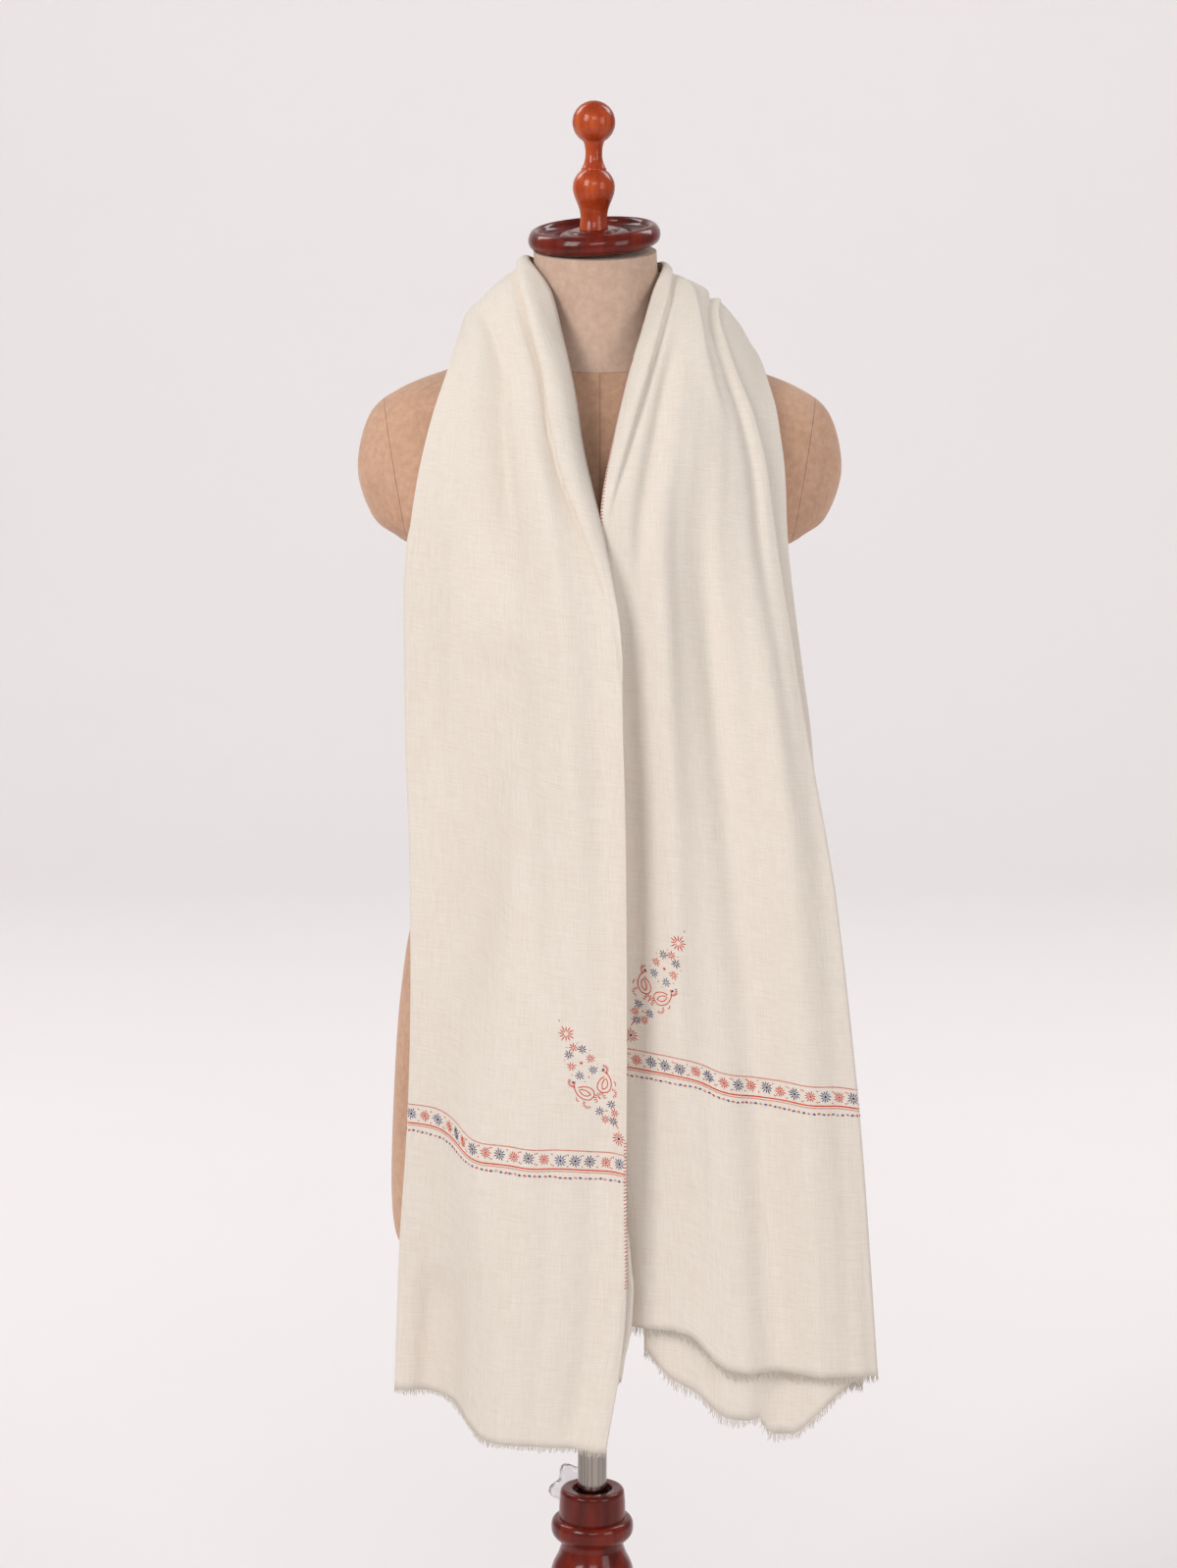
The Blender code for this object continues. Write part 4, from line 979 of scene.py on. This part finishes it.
def build_shawl(drape, finish):
    columns = shawl_columns()
    lengths = row_lengths()
    points, moved = shawl_grid(drape, lengths, columns)
    rows, across = points.shape[:2]
    mesh = mesh_of("shawl_cloth", points.reshape(-1, 3), grid_faces(rows, across))
    cloth = Cloth(points, lengths)
    u = cloth.reach[UV_ROW]
    uv = np.stack([np.broadcast_to(u[None, :], moved.shape), moved], axis=2).reshape(-1, 2)
    layer = mesh.uv_layers.new(name="cloth")
    loops = np.empty(len(mesh.loops), dtype=np.int32)
    mesh.loops.foreach_get("vertex_index", loops)
    layer.data.foreach_set("uv", uv[loops].astype(np.float32).ravel())
    nodes = ["shawl_left_panel", "shawl_neck", "shawl_right_panel"]
    made = add_piece("shawl_cloth", mesh, finish, "form", nodes)
    wall = made.modifiers.new("wall", "SOLIDIFY")
    wall.thickness = WALL
    wall.offset = 0.0
    return made, cloth


# ---------------------------------------------------------------- stitches and fringe

# The needlework's measures: the border's height above the hem, its depth, and how far apart things repeat
THREAD = 0.00095
BAND_FOOT = 0.2345
# On the right end the needlework lies lower, and its sprays stand further in from the edge
RIGHT_BAND_DROP, RIGHT_MOTIF_SHIFT = 0.009, (0.007, -0.001)
BAND_RISE, BAND_PITCH = 0.0158, 0.0127
TICK_PITCH, TICK_DROP = 0.0042, 0.0060
MOTIF_FOOT = (0.0075, 0.2640)
MOTIF_LEAN = math.radians(27)


def thread_mesh(name, groups, finishes):
    """One mesh of closed three-sided threads. A group is (paths, normals, widths, heights, colours)."""
    verts, faces, slots, base = [], [], [], 0
    for paths, normals, widths, heights, colours in groups:
        count, n = paths.shape[:2]
        sides = unit(np.cross(normals, unit(np.gradient(paths, axis=1))))
        half = sides * widths[..., None] / 2
        ring = np.stack([paths - half, paths + half, paths + normals * heights[..., None]], axis=2)
        verts.append(ring.reshape(-1, 3))
        k, i, j = np.meshgrid(np.arange(count), np.arange(n - 1), np.arange(3), indexing="ij")
        low, high = base + (k * n + i) * 3, base + (k * n + i + 1) * 3
        quads = np.stack([low + j, low + (j + 1) % 3, high + (j + 1) % 3, high + j], axis=-1).reshape(-1, 4)
        faces += [tuple(q) for q in quads.tolist()]
        slots.append(np.repeat(colours, (n - 1) * 3))
        first = base + np.arange(count) * n * 3
        last = first + (n - 1) * 3
        faces += [(f + 2, f + 1, f) for f in first.tolist()] + [(f, f + 1, f + 2) for f in last.tolist()]
        slots += [colours, colours]
        base += count * n * 3
    mesh = mesh_of(name, np.concatenate(verts), faces)
    for finish in finishes:
        mesh.materials.append(finish)
    mesh.polygons.foreach_set("material_index", np.concatenate(slots).astype(np.int32))
    return mesh


class Needle:
    """Collects strokes drawn in (distance across, height above the hem), then sews them on the cloth."""

    def __init__(self):
        self.strokes = {}
        self.drop = 0.0

    def stroke(self, points, colour, width=THREAD):
        self.strokes.setdefault(len(points), []).append((points, colour, width))

    def ray(self, centre, angle, inner, outer, colour, width=THREAD):
        c, s = math.cos(angle), math.sin(angle)
        places = (inner, (inner + outer) / 2, outer)
        self.stroke([(centre[0] + r * c, centre[1] + r * s) for r in places], colour, width)

    def dot(self, centre, size, colour):
        for angle in (0.4, 1.45, 2.5):
            self.ray(centre, angle, -size / 2, size / 2, colour, THREAD * 1.1)

    def rosette(self, centre, outer, colour, petals=12, heart=None, turn=0.0, width=THREAD, inner=0.30):
        for k in range(petals):
            reach = outer * (0.94 + 0.10 * math.sin(k * 2.4 + centre[0] * 900))
            self.ray(centre, turn + 2 * math.pi * k / petals, outer * inner, reach, colour, width)
        if heart is not None:
            self.dot(centre, outer * 0.46, heart)

    def sew(self, cloth, end):
        groups = []
        for n, strokes in sorted(self.strokes.items()):
            flat = np.array([s[0] for s in strokes])
            paths, normals = cloth.spots(end, flat[:, :, 0].ravel(), flat[:, :, 1].ravel() - self.drop)
            paths = (paths + normals * WALL * 0.4).reshape(*flat.shape[:2], 3)
            normals = normals.reshape(paths.shape)
            width = np.array([s[2] for s in strokes])[:, None]
            taper = np.ones(n)
            if n < 5:
                taper = 0.60 + 0.55 * np.sin(np.linspace(0, math.pi, n))
            widths = width * taper[None, :]
            heights = np.minimum(widths * 0.6, 0.0005) + 0 * widths
            groups.append((paths, normals, widths, heights, np.array([s[1] for s in strokes])))
        return groups


def smooth_line(points, count):
    """Evenly spaced points on a smooth curve through these."""
    points = np.array(points, float)
    at = np.concatenate([[0], np.cumsum(np.linalg.norm(np.diff(points, axis=0), axis=1))])
    return spline(at, points, np.linspace(0, at[-1], count))


def draw_line(needle, points, colour, width):
    """A couched line: one thread after another, end to end."""
    for k in range(0, len(points) - 1, 8):
        run = [tuple(p) for p in points[k : k + 9]]
        if len(run) > 1:
            needle.stroke(run, colour, width)


def draw_band(needle, total, rng):
    """The border: three couched lines, with rosettes between the upper two and ticks below the lowest."""
    across = np.arange(0.0006, total - 0.0006, 0.0020)
    wave = 0.0007 * np.sin(across * 45) + 0.0004 * np.sin(across * 131 + 1)
    draw_line(needle, np.stack([across, BAND_FOOT + wave], axis=1), ORANGE, 0.0013)
    draw_line(needle, np.stack([across, BAND_FOOT + BAND_RISE + wave], axis=1), BLUSH, 0.0011)
    draw_line(needle, np.stack([across, BAND_FOOT - 0.0020 + wave], axis=1), BLUSH, 0.0008)
    for k in range(int(total / BAND_PITCH)):
        x = (k + 0.5) * BAND_PITCH + rng.uniform(-0.0006, 0.0006)
        y = BAND_FOOT + BAND_RISE * 0.50 + rng.uniform(-0.0004, 0.0004)
        blue = k % 2 == 0 or k % 9 == 3
        shade = (NAVY if rng.random() < 0.7 else SLATE) if blue else CORAL
        outer, heart = (0.0053, NAVY) if blue else (0.0049, ORANGE)
        needle.rosette((x, y), outer, shade, 11, heart, rng.uniform(0, 1))
        gap = x + BAND_PITCH / 2
        for height, rise in ((0.0125, 1), (0.0032, -1)):
            foot = (gap + rng.uniform(-0.0008, 0.0008), BAND_FOOT + height)
            needle.ray(foot, rng.uniform(0.3, 1.2) * rise, -0.0007, 0.0009, CORAL, 0.0009)
            if rng.random() < 0.6:
                needle.ray((foot[0] + 0.0018, foot[1] - 0.0006 * rise), 2.3 * rise, -0.0006, 0.0008, CORAL)
    for k in range(int(total / TICK_PITCH)):
        x = (k + 0.5) * TICK_PITCH + rng.uniform(-0.0003, 0.0003)
        y = BAND_FOOT - TICK_DROP + rng.uniform(-0.0004, 0.0004)
        if k % 2:
            colour = SLATE if rng.random() < 0.75 else NAVY
        else:
            colour = CORAL if rng.random() < 0.6 else BLUSH
        for angle in (-2.3, -1.57, -0.85):
            needle.ray((x, y + 0.0006), angle + rng.uniform(-0.2, 0.2), 0.0002, 0.0022, colour, 0.0008)


# The spray's outlines in millimetres: a paisley's outer line, its shorter back line and its eye
PAISLEY = [(0.0, -9.0), (4.6, -7.0), (6.0, -2.0), (4.8, 3.0), (1.6, 7.0), (-2.4, 9.6), (-5.6, 9.6)]
PAISLEY_BACK = [(0.0, -9.0), (-4.2, -6.8), (-5.2, -2.2), (-4.0, 2.4), (-1.8, 5.4)]
PAISLEY_EYE = [(0.2, -6.0), (2.6, -3.4), (2.4, 0.8), (-0.4, 4.2), (-1.6, 1.0), (-1.4, -3.2), (0.2, -6.0)]
# Florets below the paisleys, then the ring of them above: its colours, middle height and two radii
LOW_FLORETS = [(-1.5, 15, NAVY), (4.2, 19, CORAL), (-5.8, 21, CORAL), (5.4, 27, SLATE), (-6.2, 28.5, NAVY)]
RING_COLOURS = (CORAL, NAVY, CORAL, SLATE, CORAL, SLATE, CORAL, NAVY)
RING_MIDDLE, RING_ACROSS, RING_UP = 71.5, 8.8, 14.0
FLORET, FLORET_THREAD = 0.0042, 0.00085


def draw_motif(needle, foot, lean, side):
    """The corner flower spray, drawn in millimetres up its own axis: (offset to its outer side, height)."""
    c, s = math.cos(lean), math.sin(lean)

    def put(u, v):
        return (foot[0] + side * (u * c + v * s) / 1000, foot[1] + (v * c - u * s) / 1000)

    def put_all(points, turn=0.0, at=(0, 0), flip=1):
        tc, ts = math.cos(turn), math.sin(turn)
        return [put(at[0] + flip * (x * tc - y * ts), at[1] + x * ts + y * tc) for x, y in points]

    def rays(u, v, outer, colour, start, stop, petals):
        """A fan of short strokes about (u, v), its angles measured from the axis towards the outer side."""
        for k in range(petals):
            a = start + (stop - start) * k / (petals - 1)
            ends = [(u + r * math.sin(a), v + r * math.cos(a)) for r in (outer * 0.5, outer * 0.78, outer)]
            needle.stroke(put_all(ends), colour)

    needle.rosette(put(0, 0), 0.0064, CORAL, 12, NAVY)
    needle.stroke(put_all([(-3.4, 7.6), (-2.8, 10.4), (-3.2, 13.6)]), CORAL, 0.0009)
    for u, v, colour in LOW_FLORETS:
        needle.rosette(put(u, v), FLORET, colour, 8, width=FLORET_THREAD, inner=0.17)
    needle.dot(put(0, 25), 0.0015, BLUSH)
    rays(0, 37, 5.4, CORAL, -1.9, 1.9, 9)
    needle.stroke(put_all([(0, 36.0), (0.4, 38.0), (0, 40.0)]), ORANGE, 0.0011)
    for flip in (-1, 1):
        at = (flip * 9.6, 47.5)
        for shape, count, colour in (
            (PAISLEY, 13, CORAL),
            (PAISLEY_BACK, 9, CORAL),
            (PAISLEY_EYE, 11, ORANGE),
        ):
            needle.stroke(put_all(smooth_line(shape, count), -0.75, at, flip), colour, 0.0009)
        needle.dot(put(flip * 14.0, 58.5), 0.0020, NAVY)
        rays(flip * 14.0, 58.5, 4.6, CORAL, flip * 0.5, flip * 3.0, 7)
        rays(flip * 11.5, 37.0, 4.4, CORAL, flip * 0.6, flip * 3.2, 6)
        needle.stroke(put_all([(flip * 17.5, 46), (flip * 18.2, 43.8), (flip * 17.4, 41.5)]), CORAL, 0.0009)
    needle.dot(put(0, 71), 0.0026, ORANGE)
    for k, colour in enumerate(RING_COLOURS):
        a = 2 * math.pi * k / 8
        u, v = RING_ACROSS * math.sin(a), RING_MIDDLE + RING_UP * math.cos(a)
        if k == 4:
            needle.ray(put(u, v), 1.1, -0.0008, 0.0010, colour, 0.0009)
            continue
        needle.rosette(put(u, v), FLORET, colour, 8, turn=k, width=FLORET_THREAD, inner=0.17)
        a += math.pi / 8
        outside = put((RING_ACROSS + 4.0) * math.sin(a), RING_MIDDLE + (RING_UP + 3.5) * math.cos(a))
        needle.ray(outside, a, -0.0007, 0.0008, BLUSH, 0.0008)
    needle.rosette(put(0, 98.5), 0.0070, CORAL, 12, inner=0.26)
    needle.ray(put(0, 110.5), 1.2, -0.0008, 0.0012, CORAL, 0.0009)


def build_embroidery(cloth, finishes):
    made = []
    for end in ("left", "right"):
        rng = np.random.default_rng(7 if end == "left" else 11)
        needle = Needle()
        row = int(np.argmin(np.abs(cloth.lengths - (BAND_FOOT if end == "left" else LENGTH - BAND_FOOT))))
        total = float(cloth.reach[row, -1])
        draw_band(needle, total, rng)
        foot = MOTIF_FOOT
        if end == "right":
            foot = (foot[0] + RIGHT_MOTIF_SHIFT[0], foot[1] + RIGHT_MOTIF_SHIFT[1])
            needle.drop = RIGHT_BAND_DROP
        draw_motif(needle, foot, MOTIF_LEAN, 1)
        draw_motif(needle, (total - foot[0], foot[1]), MOTIF_LEAN, -1)
        name = f"embroidery_{end}"
        mesh = thread_mesh(name, needle.sew(cloth, end), finishes)
        made.append(add_piece(name, mesh, None, "form"))
    return made


# A whip stitch in millimetres: (in from the edge, off the cloth, along it)
WHIP = [(2.2, 0.40, 0.9), (0.8, 0.48, 0.3), (-0.45, 0.0, 0.0), (0.8, -0.48, -0.3), (2.2, -0.40, -0.9)]
WHIP_UNDER = [(0.5, -0.30, 0.0), (0.9, -0.48, -0.3), (2.2, -0.40, -0.9)]
WHIP_PITCH, WHIP_WIDTH = 0.0030, 0.00085
# Lengths from the left hem along which the inner edge's stitches are rolled out of sight
ROLLED_UNDER = ((0.0, 0.140), (0.262, 1.37))


def build_selvage(cloth, finish):
    """Whip stitches over both long edges. Where the inner edge is rolled, only their under side is sewn."""
    groups = []
    rng = np.random.default_rng(23)
    places = np.arange(0.004, LENGTH - 0.004, WHIP_PITCH)
    rolled = np.zeros(len(places), bool)
    for start, stop in ROLLED_UNDER:
        rolled |= (places > start) & (places < stop)
    places = places + rng.uniform(-0.0003, 0.0003, len(places))
    r = np.interp(places, cloth.lengths, np.arange(len(cloth.lengths)))
    runs = [(0, 1, r[~rolled], WHIP), (0, 1, r[rolled], WHIP_UNDER), (cloth.columns - 1, -1, r, WHIP)]
    for edge, inward, rows, shape in runs:
        here = sample(cloth.points, rows, np.full_like(rows, edge))
        inside = sample(cloth.points, rows, np.full_like(rows, edge + inward))
        normal = unit(sample(cloth.normals, rows, np.full_like(rows, edge + 0.5 * inward)))
        into = unit(inside - here)
        along = unit(np.cross(normal, into))
        out = []
        normals = []
        for reach, lift, drift in shape:
            out.append(here + (into * reach + normal * lift + along * drift) / 1000)
            normals.append(unit(normal * lift - into * (0.5 if reach < 0 else 0.0)))
        paths, normals = np.stack(out, axis=1), np.stack(normals, axis=1)
        widths = np.full(paths.shape[:2], WHIP_WIDTH)
        groups.append((paths, normals, widths, widths * 0.4, np.zeros(len(paths), int)))
    mesh = thread_mesh("selvage_stitches", groups, [finish])
    return add_piece("selvage_stitches", mesh, None, "form")


FRINGE_REACH = {"left": 0.0052, "right": 0.0082}
FRINGE_PITCH = 0.0010
FRINGE_TAPER = (0.00060, 0.00058, 0.00046, 0.00022)


def build_fringe(cloth, finish):
    """Raw warp ends along both hems."""
    made = []
    for end, reach in FRINGE_REACH.items():
        rng = np.random.default_rng(31 if end == "left" else 37)
        row, inside = (0, 2) if end == "left" else (len(cloth.lengths) - 1, len(cloth.lengths) - 3)
        total = cloth.reach[row, -1]
        at = np.arange(0.0005, total - 0.0005, FRINGE_PITCH)
        at = at + rng.uniform(-0.0004, 0.0004, len(at))
        c = np.interp(at, cloth.reach[row], np.arange(cloth.columns))
        root = sample(cloth.points, np.full_like(c, row), c)
        back = sample(cloth.points, np.full_like(c, inside), c)
        normal = unit(sample(cloth.normals, np.full_like(c, row), c))
        down = unit(root - back)
        side = unit(np.cross(normal, down))
        clump = np.sin(at * 900 + np.sin(at * 260) * 2)
        length = reach * rng.uniform(0.62, 1.12, len(at)) * (0.85 + 0.15 * np.sin(at * 130))
        lean = (0.22 * clump + rng.normal(0, 0.13, len(at)))[:, None]
        flick = rng.normal(0, 0.16, len(at))[:, None]
        path = []
        for t in (-0.15, 0.3, 0.65, 1.0):
            step = down * t + side * lean * t**2 + normal * flick * t**2
            path.append(root + step * length[:, None])
        paths = np.stack(path, axis=1)
        normals = np.repeat(normal[:, None, :], 4, axis=1)
        widths = np.array(FRINGE_TAPER) * rng.uniform(0.8, 1.25, len(at))[:, None]
        group = (paths, normals, widths, widths * 0.8, np.zeros(len(at), int))
        name = f"fringe_{end}"
        mesh = thread_mesh(name, [group], [finish])
        made.append(add_piece(name, mesh, None, "form", [f"shawl_{end}_fringe"]))
    return made


# ---------------------------------------------------------------- stage


SWEEP_START, SWEEP_RADIUS = 5.0, 2.0
PAPER_HALF_WIDTH, PAPER_FRONT, PAPER_TOP, PAPER_DROP = 9.0, -9.0, 8.0, 0.0005
CAMERA_PLACE, CAMERA_DIP, CAMERA_LENS = (-0.0033, -3.0, 1.518), 9.2, 82.2
WORLD_COLOUR, WORLD_STRENGTH = (0.96, 0.955, 0.97, 1.0), 0.27


def build_stage():
    ground = plain_material("pale_paper", (0.82, 0.780, 0.780))
    profile = [(PAPER_FRONT, 0.0), (SWEEP_START, 0.0)]
    for k in range(1, 17):
        a = math.pi / 2 * k / 16
        profile.append((SWEEP_START + SWEEP_RADIUS * math.sin(a), SWEEP_RADIUS * (1 - math.cos(a))))
    profile.append((SWEEP_START + SWEEP_RADIUS, PAPER_TOP))
    sides = (-PAPER_HALF_WIDTH, PAPER_HALF_WIDTH)
    points = [(x, y, z - PAPER_DROP) for y, z in profile for x in sides]
    mesh = mesh_of("backdrop", points, grid_faces(len(profile), 2))
    made = add_piece("backdrop", mesh, ground, None)


def area_light(name, place, aim, size, power, colour=(1, 1, 1)):
    data = bpy.data.lights.new(name, "AREA")
    data.shape = "RECTANGLE"
    data.size, data.size_y = size
    data.energy = power
    data.color = colour
    made = bpy.data.objects.new(name, data)
    made.location = place
    made.rotation_euler = (Vector(aim) - Vector(place)).to_track_quat("-Z", "Y").to_euler()
    bpy.context.scene.collection.objects.link(made)


def build_lights():
    area_light("key", (-2.3, -2.5, 2.9), (0.0, 0.0, 1.25), (1.5, 1.9), 78, (1.0, 0.99, 0.98))
    area_light("fill", (3.2, -3.0, 2.1), (0.0, 0.0, 1.0), (1.8, 2.4), 44, (0.98, 0.985, 1.0))
    area_light("front", (0.3, -5.0, 3.4), (0.0, 0.0, 1.1), (2.2, 1.4), 44)
    for side, name in ((-1, "wall_left"), (1, "wall_right")):
        area_light(name, (side * 3.0, 2.2, 4.2), (side * 0.4, 5.2, 0.4), (3.0, 2.0), 122)
    world = bpy.data.worlds.new("studio")
    world.use_nodes = True
    background = world.node_tree.nodes["Background"]
    background.inputs["Color"].default_value = WORLD_COLOUR
    background.inputs["Strength"].default_value = WORLD_STRENGTH
    bpy.context.scene.world = world
    bpy.context.scene.view_settings.view_transform = "Standard"


def build_camera():
    """The lens and place that give the photograph's view."""
    data = bpy.data.cameras.new("camera")
    data.lens = CAMERA_LENS
    data.sensor_width = 36.0
    made = bpy.data.objects.new("camera", data)
    made.location = CAMERA_PLACE
    made.rotation_euler = (math.radians(90 - CAMERA_DIP), 0.0, 0.0)
    bpy.context.scene.collection.objects.link(made)
    bpy.context.scene.camera = made


def body_tree(*grids):
    """A search tree of the form's surface, from its rings of points."""
    verts, faces = [], []
    for grid in grids:
        rows, steps = grid.shape[:2]
        base = len(verts)
        verts += [Vector(p) for p in grid.reshape(-1, 3)]
        faces += [tuple(int(i) + base for i in f) for f in grid_faces(rows, steps, True)]
    return BVHTree.FromPolygons(verts, faces)


def main():
    build_camera()
    build_stage()
    build_lights()
    cover = suede_material("beige_suedecloth", *BEIGE)
    pale = suede_material("pale_suedecloth", *PALE)
    dark = wood_material("dark_stained_wood", *DARK_WOOD)
    red = wood_material("red_stained_wood", *RED_WOOD)
    torso, neck = build_form(cover, pale)
    build_wood(dark, red)
    build_knob(clear_material())
    steel = steel_material("polished_steel", (0.46, 0.41, 0.37), 0.12)
    finish_node("pole", steel)
    finish_node("lock_screw", steel)
    finish_node("pole_bush", steel_material("dull_steel", (0.16, 0.14, 0.12), 0.45))
    drape = Drape(body_tree(torso, neck))
    shawl, cloth = build_shawl(drape, cloth_material())
    threads = [thread_material(name, colour) for name, colour in THREADS]
    trims = build_embroidery(cloth, threads)
    trims.append(build_selvage(cloth, thread_material("pink_thread", (0.78, 0.20, 0.18))))
    trims += build_fringe(cloth, thread_material("ivory_thread", (0.84, 0.77, 0.67), 0.8))


main()
